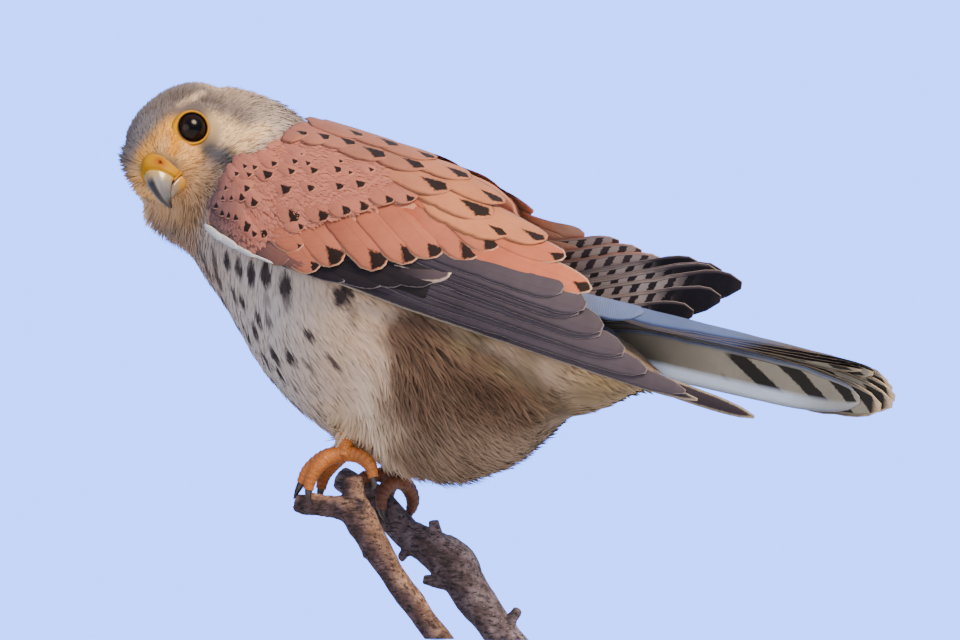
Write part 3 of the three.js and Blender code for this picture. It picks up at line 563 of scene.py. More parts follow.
# Colours of the plumage, worked out for any place on the body. Head patches are soft blobs about lines in the
# head's frame: two ends, radius, strength and colour, most of them on both cheeks.
HEAD_PATCHES = [
    ([20, 8, 0], [13, 15.5, 2], 7.0, 0.8, "868389"),
    ([16, 11.5, -8], [14.5, 15, 5], 4.0, 0.5, "8E8784"),
    ([19.5, 5.4, -2], [13, 7.5, 13.5], 4.6, 1.0, "F6B64C"),
    ([18.4, 2.5, 8.5], [15.6, -3.5, 14], 4.4, 1.0, "E8BC7E"),
    ([16, -4, 14], [19, -9, 9.5], 4.6, 1.0, "F0BA70"),
    ([1, 16, 15], [-8.5, 7, 23], 4.6, 0.65, "544D4C"),
    ([5.5, 12.7, 16.4], [-0.2, 11.4, 19.4], 1.7, 0.5, "D8BC9C"),
    ([-0.2, 11.4, 19.4], [-6, 10.3, 20.2], 1.6, 0.5, "DDC6AA"),
    ([-2, 8.2, 21], [-6, 4.4, 22.8], 1.7, 0.7, "544B4A"),
    ([4, -2, 22.5], [8.5, -12, 30], 5.6, 1.0, "EFD3A4"),
    ([8, -14, 29], [1, -16, 34], 5.6, 1.0, "E6C9A0"),
    ([11.4, -3.8, 17.4], [13.2, -6.6, 18.4], 1.9, 0.6, "6A5B56"),
    ([13.2, -7.2, 18.6], [16.2, -16.5, 25.5], 3.3, 0.95, "40454F"),
    ([14.4, -10.5, 22.5], [12.4, -12.6, 25.4], 2.4, 0.6, "5A5C62"),
    ([15.2, 4.6, 14.2], [17.9, 0.6, 9.6], 2.8, 1.0, "E29C00"),
    ([19.6, -12.5, 4], [17.6, -17, -8], 7.0, 0.9, "D6A674"),
    ([9, -8.8, -22], [14, -16, -14], 5.5, 0.9, "C79F74"),
    ([20, -14, 13], [23.8, -22, 2], 6.0, 0.8, "BC9970"),
]


def step(low, high, value):
    """Smooth step 3t2 - 2t3 from 0 at low to 1 at high."""
    t = np.clip((value - low) / (high - low), 0, 1)
    return t * t * (3 - 2 * t)


def blend(base, colour, share):
    """base + (colour - base) * share, the share held from 0 to 1. Both are hex codes or linear colours."""
    base, colour = (linear(c) if isinstance(c, str) else c for c in (base, colour))
    return base + (colour - base) * np.clip(share, 0, 1)[..., None]


def clouds(points, size, seed):
    """Relief from 0 to 1 instead of -1 to 1."""
    return 0.5 + 0.5 * relief(points, size, seed)


def body_frame(points):
    """Place along the trunk, distance to the side, and angle round it from the back in degrees."""
    away, y = points - BODY, points[..., 1]
    return away @ A, y, np.degrees(np.arctan2(np.abs(y), away @ H + 2))


def headness(points):
    """1 on the head, 0 from the lower neck on: a smooth step of the distance from 2 mm behind the head's middle."""
    return 1 - step(27, 40, span(points - HEAD - A * 2))


def ankle_reach(points):
    """Distance in millimetres to the nearer ankle."""
    return np.minimum(*(span(points - leg["ankle"]) for leg in LEGS.values()))


# Dark drops and streaks of the breast: place along the trunk, angle round it, half width, half length, turn from the
# trunk's line towards the belly, and strength.
DROPS = [
    [-43.6, 117, 1.4, 3.0, 62, 1], [-37.3, 115, 1.3, 3.5, 60, 1], [-30.7, 113, 1.5, 4.9, 62, 1],
    [-24.8, 107, 2.0, 4.3, 62, 1], [-14.9, 106, 2.3, 4.1, 58, 1], [-11.5, 114, 1.4, 3.6, 58, 0.6],
    [-20.1, 121, 1.2, 2.7, 55, 0.45], [-36.5, 135, 1.2, 3.1, 50, 1], [-31.2, 134, 1.2, 2.8, 45, 1],
    [-21.5, 134, 1.3, 2.7, 42, 1], [-16.3, 131, 1.2, 2.7, 42, 0.7], [-22.4, 143, 1.4, 2.8, 42, 1],
    [2.2, 123, 1.2, 3.0, 15, 1], [-27.4, 152, 1.1, 3.5, 40, 1], [-10.3, 146, 1.2, 2.9, 28, 1],
    [-2.9, 140, 1.2, 3.0, 26, 1], [-15.1, 154, 1.0, 3.0, 30, 1], [6.6, 138, 0.8, 3.2, 15, 0.6],
    [15.3, 129, 0.9, 3.4, 22, 0.9], [-5.8, 155, 1.0, 3.0, 20, 1], [0.4, 153, 0.8, 2.7, 20, 0.5],
    [10.1, 149, 0.7, 3.0, 15, 0.45], [12.7, 158, 0.7, 3.0, 15, 0.5], [8.3, 93, 3.4, 3.8, 30, 1],
    [15, 100, 1.6, 4.6, 50, 0.45], [-35, 161, 1.1, 3.1, 30, 1], [-44, 152, 1.2, 3.4, 40, 1],
    [-24, 168, 1.1, 3.0, 20, 1], [-12, 168, 1.1, 3.0, 15, 1], [-1, 170, 0.9, 2.8, 10, 0.7],
    [-50, 124, 1.3, 4.4, 62, 0.8], [-46.5, 137, 1.4, 4.6, 56, 0.85], [-53, 140, 1.3, 4.2, 56, 0.8],
    [-58, 128, 1.2, 3.6, 60, 0.7], [-52, 160, 1.2, 3.6, 35, 0.8], [-60, 150, 1.1, 3.2, 45, 0.7],
]
GIRTH = 34.0


def drops(points):
    """How dark the drops make each point: 1 - (along / half length) ** 2 - (across / half width) ** 2 from the middle
    of each, blunter towards the tail, turned into a soft edge. Angles are measured along a girth of 34 mm."""
    a, _, angle = body_frame(points)
    arc = np.radians(angle) * GIRTH
    dark = np.zeros(points.shape[:-1])
    near = (angle > 80) & (a > -68) & (a < 24)
    a, arc = a[near], arc[near]
    most = np.zeros(len(a))
    for place, at_angle, wide, long, turn, strength in DROPS:
        da, darc = a - place, arc - np.radians(at_angle) * GIRTH
        c, s = np.cos(np.radians(turn)), np.sin(np.radians(turn))
        along = (da * c + darc * s) / (long * 1.2)
        across = (darc * c - da * s) / (wide * 1.35 * (1 + 0.3 * along))
        most = np.maximum(most, strength * step(-0.1, 0.3, 1 - along**2 - across**2))
    dark[near] = most
    return dark


def plumage(points, ragged=0.0):
    """Linear colour of the small feathers at points: zones of the trunk blended by smooth steps, the drops, the neck
    and the ankles, then the head's patches, each weighed by exp(-(distance / radius) ** 3)."""
    a, _, angle = body_frame(points + ragged)
    mottled, fine = clouds(points, 9, 11), clouds(points, 3, 12)
    edge = a - 30 - 0.38 * (angle - 100)  # how far behind the front of the flank's brown
    brown = step(-10, 10, edge + 15 * (mottled - 0.5) + 5 * (fine - 0.5))
    front = step(96, 118, angle + 0.4 * (a + 50)) * (1 - step(-50, -32, a))
    under = step(44, 62, a) * (1 - step(84, 99, angle + 8 * (mottled - 0.5)))
    neck = (1 - step(-55, -48, a - 0.045 * np.maximum(60 - angle, 0) + 0.05 * angle)) * (1 - step(84, 104, angle))
    below = (1 - step(-66, -56, a)) * step(84, 104, angle)
    colour = linear("AFAFB3")
    for code, share in (
        # Breast, darker over the crop, where the breast's own tone is partly painted shade; belly, with a pale band
        # before the brown.
        ("B5AEA9", mottled),
        ("8F7B70", front * (0.2 + 0.6 * fine)),
        ("BFA68D", step(-18, 20, a + 0.25 * (120 - angle)) * (0.7 + 0.3 * fine)),
        ("D6C8B4", np.exp(-(((edge + 11) / 6) ** 2)) * step(116, 142, angle) * 0.7),
        # Brown flank with two darker places, paler vent, olive-brown under the wing tips and under the tail's root:
        # buff feathers with painted shade under the wing and the tail, darkest in the two places.
        ("4E3A2D", brown * step(66, 84, angle) * (0.85 + 0.15 * fine)),
        ("3A2A21", np.exp(-(((a - 72) / 14) ** 2) - ((angle - 104) / 16) ** 2) * 0.8),
        ("46342A", np.exp(-(((a - 40) / 10) ** 2) - ((angle - 92) / 12) ** 2) * 0.75),
        ("A08D7A", step(118, 156, angle) * step(46, 74, a) * (0.35 + 0.5 * mottled)),
        ("72674F", under * (0.15 + 0.75 * step(0.35, 0.75, mottled))),
        ("786B54", step(84, 98, a) * (0.5 + 0.4 * mottled)),
        # Rufous back and blue-grey rump.
        ("9B6A5B", (1 - step(66, 80, angle)) * step(-54, -47, a + 0.06 * angle) * (1 - step(34, 52, a))),
        ("7C88A6", (1 - step(16, 28, angle)) * step(40, 56, a) * (1 - step(94, 102, a))),
        # Drops, neck above and below, and ankles.
        ("241F26", drops(points) * 0.96),
        ("A79B92", neck * (0.8 + 0.2 * fine)),
        ("A88A70", below * (0.5 + 0.5 * fine)),
        ("B9A68C", 1 - step(6, 13, ankle_reach(points))),
    ):
        colour = blend(colour, code, share)
    local, head = in_head(points), headness(points)
    folded = local * [1, 1, 0] + np.abs(local) * [0, 0, 1]
    colour = blend(colour, "716867", head * 0.95)
    nape = head * 0.9 * step(-2, -16, local[..., 0]) * step(20, 30, span(local - [6, 16, 0]))
    colour = blend(colour, "B3A08C", nape)
    for start, end, radius, strength, code in HEAD_PATCHES:
        start, line = np.array(start, float), np.array(end, float) - start
        there = folded if start[2] > 0 else local
        share = np.clip((there - start) @ line / (line @ line), 0, 1)
        far = span(there - start - share[..., None] * line)
        colour = blend(colour, code, strength * np.exp(-((far / radius) ** 3)) * step(0, 0.25, head + 0.1))
    return colour


# Down and contour feathers: matt keratin barbs. A little sheen stands for the soft edge of their fine barbules.
down = finish("small_feathers")
tint = node(down, "ShaderNodeAttribute", attribute_name="tint").outputs["Color"]
closed(down, Base_Color=tint, Roughness=0.82, Sheen_Weight=0.12, Sheen_Roughness=0.5, Specular_IOR_Level=0.25)

# Its colour is the plumage's at 0.6, painted shade where the skin shows between the feathers.
body = tinted(piece("skin", skin, skin_quads), plumage(skin) * 0.6)
fitted(body, down, "buff_feathers", "torso", "neck", "head")

# Coat. Thousands of small contour feathers grow from the skin in one lie: back from the bill over the head,
# down the body to the tail and down the thighs. Each is a thin closed blade with a raised shaft; short and
# narrow on the face, broad on breast and back, long and loose on belly and thighs.
LIE_FROM = on_head(np.array([21, -3, 0]))


def lie(points, normals):
    """Way the feathers point at a place: away from the bill on the head; along the body elsewhere, turned down by 60
    degrees on the front of the breast, 15 on the belly and 45 where it swells, and up a little under the tail and by
    45 on the far flank; down the leg near an ankle; laid into the skin by taking off its share along the normal."""
    a, y, angle = body_frame(points)
    head = headness(points)[:, None]
    turn = 15 + 45 * (1 - step(-35, 5, a)) + 30 * np.exp(-(((a - 38) / 12) ** 2)) * step(85, 105, angle)
    turn = turn - 35 * step(78, 94, a) - 60 * step(48, 64, a) * (1 - step(96, 104, a)) * step(2, 11, y)
    turn = np.radians(turn * step(40, 90, angle))[:, None]
    down_body = A * np.cos(turn) - H * np.sin(turn)
    from_bill = unit(points - LIE_FROM)
    way = unit(down_body * (1 - head) + from_bill * head)
    for leg in LEGS.values():
        hip, ankle = np.array(leg["hip"]), np.array(leg["ankle"])
        near = 1 - step(9, 17, span(points - (hip * 0.25 + ankle * 0.75)))
        way = unit(way * (1 - near[:, None]) + unit(ankle - hip) * near[:, None])
    return unit(way - normals * np.sum(way * normals, -1, keepdims=True))


TRUNK_AHEAD, TRUNK_LONG = 135, 265  # where the unwrap starts, ahead of the trunk's origin, and how long it is


def unwrapped(points):
    """Place of each point on an unwrap of the skin, 0 to 1 both ways: angle round the trunk's line, and place along
    it."""
    away = points - BODY
    round_line = np.arctan2(away[:, 1], away @ H) / (2 * np.pi) + 0.5
    return np.stack([round_line, (away @ A + TRUNK_AHEAD) / TRUNK_LONG], -1)


# A blade: stations before its tip with their shares of the width, how deep it is rooted, how far its edges look
# outward, the painted shade and highlight of each of its points (darker to the root, a little lighter on the raised
# shaft), its own patch on the map for baking, and its ten points on that patch.
BLADE = np.array([0.0, 0.34, 0.7])
BLADE_WIDTH = np.array([0.5, 1.0, 0.72])
BLADE_ROOT = 0.35
BLADE_OUTWARD = np.array([-0.35, 0, 0.35] * 3 + [0])
BLADE_PAINTED_LIGHT = [0.8, 0.8, 0.8, 0.95, 0.98, 0.95, 1.0, 1.04, 1.0, 1.03]
BLADE_PATCH = 0.003
BLADE_CELL = np.array(
    [[0, 0], [0.5, 0], [1, 0], [0, 0.4], [0.5, 0.4], [1, 0.4], [0.2, 0.8], [0.5, 0.8], [0.8, 0.8], [0.5, 1]]
)
BLADE_QUADS = np.array([[0, 1, 4, 3], [1, 2, 5, 4], [2, 0, 3, 5], [3, 4, 7, 6], [4, 5, 8, 7], [5, 3, 6, 8]])
BLADE_ENDS = np.array([[6, 7, 9], [7, 8, 9], [8, 6, 9], [0, 2, 1]])


def blades(name, roots, normals, ways, length, width, lift, hang, shade, dye, chart, ridge=0.16):
    """Closed three-sided blades from roots. A point at share s of the length stands lift * s - hang * s ** 2 of the
    length off the skin; left edge, raised shaft and right edge at each station, and one point at the tip."""
    count = len(roots)
    out = np.cross(normals, ways)
    s = BLADE[None, :, None]
    long, wide = length[:, None, None], width[:, None, None]
    spine = roots[:, None] - normals[:, None] * BLADE_ROOT + ways[:, None] * long * s
    spine = spine + normals[:, None] * long * (lift[:, None, None] * s - hang[:, None, None] * s**2)
    half = wide * BLADE_WIDTH[None, :, None] / 2 * out[:, None]
    raised = spine + normals[:, None] * wide * ridge
    tip = roots + ways * length[:, None] + normals * (length * (lift - hang))[:, None]
    points = np.concatenate([np.stack([spine - half, raised, spine + half], 2).reshape(count, 9, 3), tip[:, None]], 1)
    base = np.arange(count)[:, None, None] * 10
    points = points.reshape(-1, 3)
    obj = piece(name, points, *((f + base).reshape(-1, f.shape[1])[:, ::-1] for f in (BLADE_QUADS, BLADE_ENDS)))
    # Light falls on a blade as on the coat: the skin's own normal at the shaft, a little outward at the edges, and
    # the same turned about on its under side.
    soft = unit(normals[:, None] + out[:, None] * BLADE_OUTWARD[:, None]).reshape(-1, 3)
    corners = np.empty(len(obj.data.loops), np.int32)
    obj.data.loops.foreach_get("vertex_index", corners)
    under = [np.tile(np.repeat(sides, n), count) for sides, n in (([0, 0, 1, 0, 0, 1], 4), ([0, 0, 1, 1], 3))]
    obj.data.normals_split_custom_set((soft[corners] * (1 - 2 * np.concatenate(under))[:, None]).tolist())
    ragged = np.repeat((np.random.default_rng(7).random((count, 3)) - 0.5) * 0.9, 10, axis=0)
    # Colours times the painted shade and highlight along the blade, and the blade's own tone.
    colours = dye(points, ragged) * (np.tile(BLADE_PAINTED_LIGHT, count) * np.repeat(shade, 10))[:, None]
    tinted(obj, np.clip(colours, 0, 1))
    place = np.repeat(chart, 10, axis=0) + (np.tile(BLADE_CELL, (count, 1)) - 0.5) * BLADE_PATCH
    baked = obj.data.uv_layers.new(name="OFBake")
    baked.data.foreach_set("uv", np.clip(place, 0.001, 0.999)[corners].astype(np.float32).ravel())
    return obj


def spread(points, quads, density, seed):
    """Random places on quads, so many per square millimetre, with the normals there: each quad gets the whole part of
    its area times density, and one more by chance; the place is a bilinear mix of its corners."""
    rng = np.random.default_rng(seed)
    p = points[quads]
    area = np.linalg.norm(np.cross(p[:, 2] - p[:, 0], p[:, 3] - p[:, 1]), axis=1) / 2
    wanted = area * density(p.mean(1))
    number = (wanted + rng.random(len(wanted))).astype(int)
    chosen = np.repeat(np.arange(len(quads)), number)
    s, t = rng.random((2, len(chosen), 1))
    mix = [(1 - s) * (1 - t), s * (1 - t), s * t, (1 - s) * t]
    normals = facing(points, quads)
    return (
        sum(w * points[quads[chosen, c]] for c, w in enumerate(mix)),
        unit(sum(w * normals[quads[chosen, c]] for c, w in enumerate(mix))),
        rng,
    )


EYE_RING = 7.2
CERE_PLACE, CERE_REACH = [22.4, -2.6, 0], [3.7, 5.0, 5.8]


def face_free(points):
    """Room in millimetres before the rings of the eyes and the cere, which bare skin fills."""
    rings = np.minimum(*(eye_reach(points, side) for side in EYES.values())) - EYE_RING
    return np.minimum(rings, span((in_head(points) - CERE_PLACE) / CERE_REACH) * 7 - 7)


def density(points):
    """Blades per square millimetre: dense and fine on the head, fewer where wings or tail cover the body."""
    a, _, angle = body_frame(points)
    head = headness(points)
    neck = 1 - step(-66, -48, a)
    fluffy = step(18, 34, a) * step(78, 96, angle)
    bare = 0.65 + 0.6 * neck + 2.8 * head + 0.75 * fluffy * (1 - head)
    gone = step(104, 111, a)
    covered = (1 - step(84, 94, angle - 0.25 * a)) * step(-38, -26, a) * (1 - step(50, 66, a))
    return bare * (1 - 0.75 * covered) * (1 - gone)


roots, normals, rng = spread(skin, skin_quads, density, 3)
free = face_free(roots)
kept = free > 0
roots, normals, free = roots[kept], normals[kept], free[kept]
a, _, angle = body_frame(roots)
head = headness(roots)
ways = lie(roots, normals)
local = in_head(roots)
neck = (1 - step(-66, -46, a)) * (1 - head)
belly = step(16, 36, a) * step(78, 100, angle)
trim = step(80, 92, a) * step(66, 92, angle)
behind = step(52, 74, a) * (1 - step(88, 98, a)) * step(92, 112, angle)
# Crown and nape stand a little loose, the chin carries a short beard, and the far cheek's feathers hide its eye's rim.
crown = step(6, 13, local[:, 1]) * (1 - step(5, 14, local[:, 0])) * head
beard = step(-6, -12, local[:, 1]) * step(3, 9, local[:, 0]) * head
nape = neck * (1 - step(40, 80, angle))
cheek = step(-4, -8, local[:, 2]) * step(-8, -2, local[:, 1]) * (1 - step(8, 13, local[:, 1])) * head
# Lengths off and on the head, which the room before bare skin and the nearness of an ankle shorten.
length = 8.8 + 3.6 * belly * (1 - 0.45 * behind) + 0.8 * step(-20, 10, a) - 1.5 * neck + 1.5 * nape
on_head_length = 3.7 + 1.4 * step(-5, -20, local[:, 0]) + 0.7 * crown
on_head_length = on_head_length + (2.6 + 1.6 * step(4, -4, local[:, 2])) * beard + 2.6 * cheek
length = (length - 2.5 * behind - 5.5 * trim) * (1 - head) + on_head_length * head
length = length * (0.75 + 0.5 * rng.random(len(roots)))
length = np.minimum(length, 1.0 + (0.75 + 0.35 * beard + 0.25 * cheek) * free)
length = length * (0.78 + 0.22 * step(8, 18, ankle_reach(roots)))
width = (1.9 - 0.8 * belly - 0.9 * neck) * (1 - head) + 0.62 * head
width = width * (0.7 + 0.6 * rng.random(len(roots)))
on_head_lift = (0.16 + 0.12 * crown) * step(-1, 6, free) + 0.26 * beard + 0.38 * cheek
lift = (0.13 + 0.14 * belly + 0.22 * nape + 0.05 * neck) * (1 - head) + on_head_lift * head
lift = lift - 0.05 * behind - 0.12 * trim + (0.1 + 0.08 * np.maximum(belly, head)) * (rng.random(len(roots)) - 0.5)
hang = np.full(len(roots), 0.07)
swing = (rng.random(len(roots)) - 0.5) * (0.24 + 0.4 * belly)
ways = unit(ways + np.cross(normals, ways) * swing[:, None])
streak = step(0.1, 0.6, head + neck * 0.9) * (rng.random(len(roots)) < 0.2)
varied = 0.12 + 0.16 * np.maximum(belly, np.maximum(head, neck))
shade = (1 + varied * (rng.random(len(roots)) - 0.5)) * (1 - 0.45 * streak)
REGIONS = {
    "coat_face": head > 0.5,
    "coat_neck": (head <= 0.5) & (a < -48),
    "coat_breast": (head <= 0.5) & (a >= -48) & (angle > 95) & (a < 5),
    "coat_belly": (head <= 0.5) & (a >= 5) & (angle > 95),
    "coat_back": (head <= 0.5) & (a >= -48) & (angle <= 95),
}
SLOTS = {"coat_face": "grey_feathers", "coat_neck": "grey_feathers"}
MOST = 11500  # blades to a piece
for name, inside in REGIONS.items():
    where = np.nonzero(inside)[0]
    for number, some in enumerate(np.array_split(where, -(-len(where) // MOST))):
        growth = (g[some] for g in (roots, normals, ways, length, width, lift, hang, shade))
        grown = blades(f"{name}_{number + 1}", *growth, plumage, unwrapped(roots[some]))
        fitted(grown, down, SLOTS.get(name, "buff_feathers"))

# Wings. Each folded wing is a curved sheet of flight feathers under tiers of coverts: x runs from the wrist to
# the tip and z up from the lower edge. Vanes are keratin blades stiffened by a shaft, laid like roof tiles.
WRIST = np.array([-50.8, 0, 236.6])
WING_LINE = sloped(19.7)
# Rows: x, distance of the lower edge from the bird's middle, radius of the arc, lean of the lower edge.
SHEET = [
    [-10, 34, 49, -8],
    [0, 38.5, 51.5, -8],
    [45, 43, 51.5, -8],
    [80, 42, 51, -8],
    [102, 38, 46, -7],
    [125, 34, 45, -5],
    [165, 27, 80, 0],
    [218, 20.5, 120, 0],
]
WINGS = {"left": (-1, 0, 0, 0), "right": (1, 28, 16, 3.2)}  # side, lift of the tip, its shift inward, arch


def wing_sheet(wing, x, z, height):
    """Point at that height over a wing's sheet. Its section is an arc: y = edge - R (cos lean - cos(lean + z / R)),
    h = R (sin(lean + z / R) - sin lean), and the far wing's tip is lifted and shifted along the smooth step of x and
    its middle arched by exp(-((x - 128) / 24) ** 2)."""
    side, lift, inward, arch = wing

    def place(x, z):
        edge, radius, lean = np.moveaxis(read(SHEET, x), -1, 0)
        lean = np.radians(lean)
        bend = step(100, 200, x)
        y = edge - inward * bend - radius * (np.cos(lean) - np.cos(lean + z / radius))
        h = radius * (np.sin(lean + z / radius) - np.sin(lean)) + lift * bend + arch * np.exp(-(((x - 128) / 24) ** 2))
        return set_out(WRIST, WING_LINE, x, h, side * y)

    x, z, height = np.broadcast_arrays(x, z, height)
    across = place(x, z + 0.5) - place(x, z - 0.5)
    normal = unit(np.cross(place(x + 0.5, z) - place(x - 0.5, z), across)) * -side
    return place(x, z) + normal * height[..., None]


VANE_THICK = 0.26
NO_SPOT, NO_BARS = 0.001, 1e4  # a spot too small and bars too far apart to show
# What a vane's look says where nothing else is said: shares of the length or half width for tip_from, skew and the
# fades, a factor for side_rim and squeeze, millimetres for the rest.
PLAIN = {
    "tip_from": 0.72, "camber": 0.6, "tuck": 0.25, "side_rim": 1, "skew": 0, "squeeze": 1, "slant": 0, "shift": 0,
    "fade": (0.3, 0.9), "under": ("9B938F", "9B938F"), "under_fade": (0.3, 0.9), "fringe": 0.5, "spot": NO_SPOT,
    "under_bars": NO_BARS, "bars_from": (-1.0, 0.0), "web_clear": 0,
}


def vanes(at, rows, look, seed, stations=15, across=9, roll=0.08):
    """Feathers laid over a sheet, from rows [root x, root z, tip x, tip z, width, root height, tip height].
    Half the width is narrow at the root, full from a third of the length, and rounded as sqrt(1 - t ** 2.2) from
    where the tip begins, with a frayed edge. The section is a thin lens, thick * sqrt(1 - v2), arched by camber * v2
    and tucked down at the tip."""
    look = {**PLAIN, **look}
    rng = np.random.default_rng(seed)
    rows = np.asarray(rows, float)
    count = len(rows)
    x0, z0, x1, z1, width, low, high = rows.T[:, :, None, None]
    long = np.hypot(x1 - x0, z1 - z0)
    u = (np.linspace(0, 0.996, stations) ** 0.85)[None, :, None]
    v = np.concatenate([np.linspace(-1, 1, across), np.linspace(1, -1, across)[1:-1]])[None, None, :]
    face = np.concatenate([np.ones(across), -np.ones(across - 2)])[None, None, :]
    tip = np.clip((u - look["tip_from"]) / (1 - look["tip_from"]), 0, 1)
    profile = (0.4 + 0.6 * step(0, 0.34, u)) * np.sqrt(np.clip(1 - tip**2.2, 0, 1))
    frayed = 1 - 0.08 * (rng.random((count, stations, 2)) ** 6) * (u > 0.3)
    half = width / 2 * profile * np.where(v < 0, frayed[..., :1], frayed[..., 1:])
    out = v * half
    lens_rise = face * VANE_THICK / 2 * np.sqrt(np.clip(1 - v**2, 0, 1))
    arch = look["camber"] * (v**2) * profile + look["tuck"] * step(0.78, 1, u)
    sway = (rng.random((count, 1, 1)) - 0.5) * 0.1
    height = low + (high - low) * u - roll * out + lens_rise - arch + sway
    x = x0 + (x1 - x0) * u - (z1 - z0) / long * out
    z = z0 + (z1 - z0) * u + (x1 - x0) / long * out
    points = at(x, z, height)
    back = long * (1 - u) + 0 * out
    edge = np.minimum((half - np.abs(out)) * look["side_rim"], back * 0.9) + 0 * out
    shaft = (out - look["skew"] * half) * look["squeeze"]
    tone = blend(*look["tones"], step(*look["fade"], u))
    if "paint" in look:
        tone = look["paint"][:, None, None] + 0 * tone
    if "rear" in look:
        tone = blend(tone, look["rear"], step(55, 108, x1))
    tone = tone * (0.93 + 0.14 * rng.random((count, 1, 1, 1)))
    under = blend(*look["under"], step(*look["under_fade"], u)) + 0 * points
    # The outermost tail feather has a pale outer web, which fades before the tip.
    if "web" in look:
        outer = step(0.3, 0.5, v) * (1 - 0.75 * step(0.7, 0.93, u)) + 0 * out
        under, tone = (blend(base, look["web"], outer) for base in (under, tone))
    spot = np.asarray(look["spot"], float).reshape(-1, 1, 1)
    marks = [np.where(face > 0, spot, NO_SPOT), np.where(face > 0, NO_BARS, look["under_bars"]), look["fringe"]]
    top = np.broadcast_to((face > 0)[..., None], points.shape)
    ink = linear(look["ink"])
    # Bars below start to show only some way along the feather, and leave the pale web clear.
    shown = step(*look["bars_from"], u)[..., None]
    clear = 1 - look["web_clear"] * step(0.3, 0.5, v)[..., None]
    return {
        "points": points,
        "place": np.stack([shaft + 0 * x, back + look["slant"] * np.abs(shaft) + look["shift"], edge], -1),
        "mark": np.stack(np.broadcast_arrays(*marks, edge)[:3], -1),
        "ground": np.where(top, tone, under),
        "ink": np.where(top, ink, under + (ink - under) * shown * clear),
        "rim": np.where(top, linear(look["rim"]), linear(look.get("under_rim", look["rim"]))),
    }


def outward(obj):
    """Turns all faces of a closed piece outwards."""
    work = bmesh.new()
    work.from_mesh(obj.data)
    bmesh.ops.recalc_face_normals(work, faces=work.faces)
    work.to_mesh(obj.data)
    work.free()


def feathered(name, groups):
    """One piece from groups of vanes. Quads run round each ring and on to the next, caps close both ends, and the map
    for baking gives every feather a cell of its own, with its upper face on the left half and its lower on the
    right."""
    cells = int(np.ceil(np.sqrt(sum(len(g["points"]) for g in groups))))
    quads, ends, chart, end_chart, start, feather = [], [], [], [], 0, 0
    for g in groups:
        count, m, r, _ = g["points"].shape
        n = r // 2 + 1
        ju, iu = np.meshgrid(np.arange(r), np.arange(m - 1))
        flat = np.stack([[ju, ju + 1, ju + 1, ju], [iu, iu, iu + 1, iu + 1]], -1)
        flat = flat.transpose(1, 2, 0, 3).reshape(-1, 4, 2)
        t = np.arange(1, n - 2)
        cap = np.stack([t, t + 1, r - t - 1, r - t], -1)
        corner = np.array([[0, 1, r - 1, r - 1], [n - 1, n, n - 2, n - 2]])
        first = np.concatenate([cap, corner])
        last = first[:, ::-1] + (m - 1) * r
        offset = start + np.arange(count)[:, None, None] * m * r
        quads.append((bands(m, r) + offset).reshape(-1, 4))
        ends.append((np.concatenate([first, last]) + offset).reshape(-1, 4))
        cell = feather + np.arange(count)
        corner_of = np.stack([cell % cells, cell // cells], -1)[:, None, None] / cells
        chart.append((corner_of + (0.04 + 0.92 * flat / [r, m - 1]) / cells).reshape(-1, 2))
        end_chart.append(np.broadcast_to(corner_of + 0.5 / cells, (count, len(first) * 2, 4, 2)).reshape(-1, 2))
        start += count * m * r
        feather += count
    quads, ends = np.concatenate(quads), np.concatenate(ends)
    twice = ends[:, 2] == ends[:, 3]
    backs = ends[:, 0] == ends[:, 1]
    flat_chart = np.concatenate(end_chart).reshape(-1, 4, 2)
    tris = np.concatenate([ends[twice][:, :3], ends[backs][:, 1:]])
    whole = ~(twice | backs)
    points, place, mark, *colours = (
        np.concatenate([g[key].reshape(-1, 3) for g in groups])
        for key in ("points", "place", "mark", "ground", "ink", "rim")
    )
    obj = piece(name, points, quads, ends[whole], tris)
    layout = [np.concatenate(chart), flat_chart[whole].reshape(-1, 2)]
    layout += [flat_chart[twice][:, :3].reshape(-1, 2), flat_chart[backs][:, 1:].reshape(-1, 2)]
    obj.data.uv_layers.new(name="OFBake").data.foreach_set("uv", np.concatenate(layout).astype(np.float32).ravel())
    for key, values in (("place", place), ("mark", mark)):
        held = obj.data.attributes.new(key, "FLOAT_VECTOR", "POINT")
        held.data.foreach_set("vector", values.astype(np.float32).ravel())
    for key, values in zip(("ground", "ink", "rim"), colours):
        tinted(obj, np.clip(values, 0, 1), key)
    outward(obj)
    return obj


# Vane of a large feather: matt keratin, barbs 0.7 mm apart (twice the real 0.3 mm, so that they show) slanting from
# the shaft. An ink diamond lies before the tip, bars cross some, and a pale rim follows the edge.
vane = finish("feather_vane")
MATH = "ShaderNodeMath"
place = node(vane, "ShaderNodeSeparateXYZ", node(vane, "ShaderNodeAttribute", attribute_name="place").outputs["Vector"])
mark = node(vane, "ShaderNodeSeparateXYZ", node(vane, "ShaderNodeAttribute", attribute_name="mark").outputs["Vector"])
ground, ink, rim = (
    node(vane, "ShaderNodeAttribute", attribute_name=key).outputs["Color"] for key in ("ground", "ink", "rim")
)
where = node(vane, "ShaderNodeTexCoord").outputs["Object"]
wobble = node(vane, "ShaderNodeTexNoise", where, into={"Scale": 900, "Detail": 3}).outputs["Fac"]
wobble = node(vane, MATH, wobble, 0.5, operation="SUBTRACT")
across = node(vane, MATH, place.outputs["X"], operation="ABSOLUTE")
back, edge = place.outputs["Y"], place.outputs["Z"]
spot, bars, fringe = mark.outputs["X"], mark.outputs["Y"], mark.outputs["Z"]
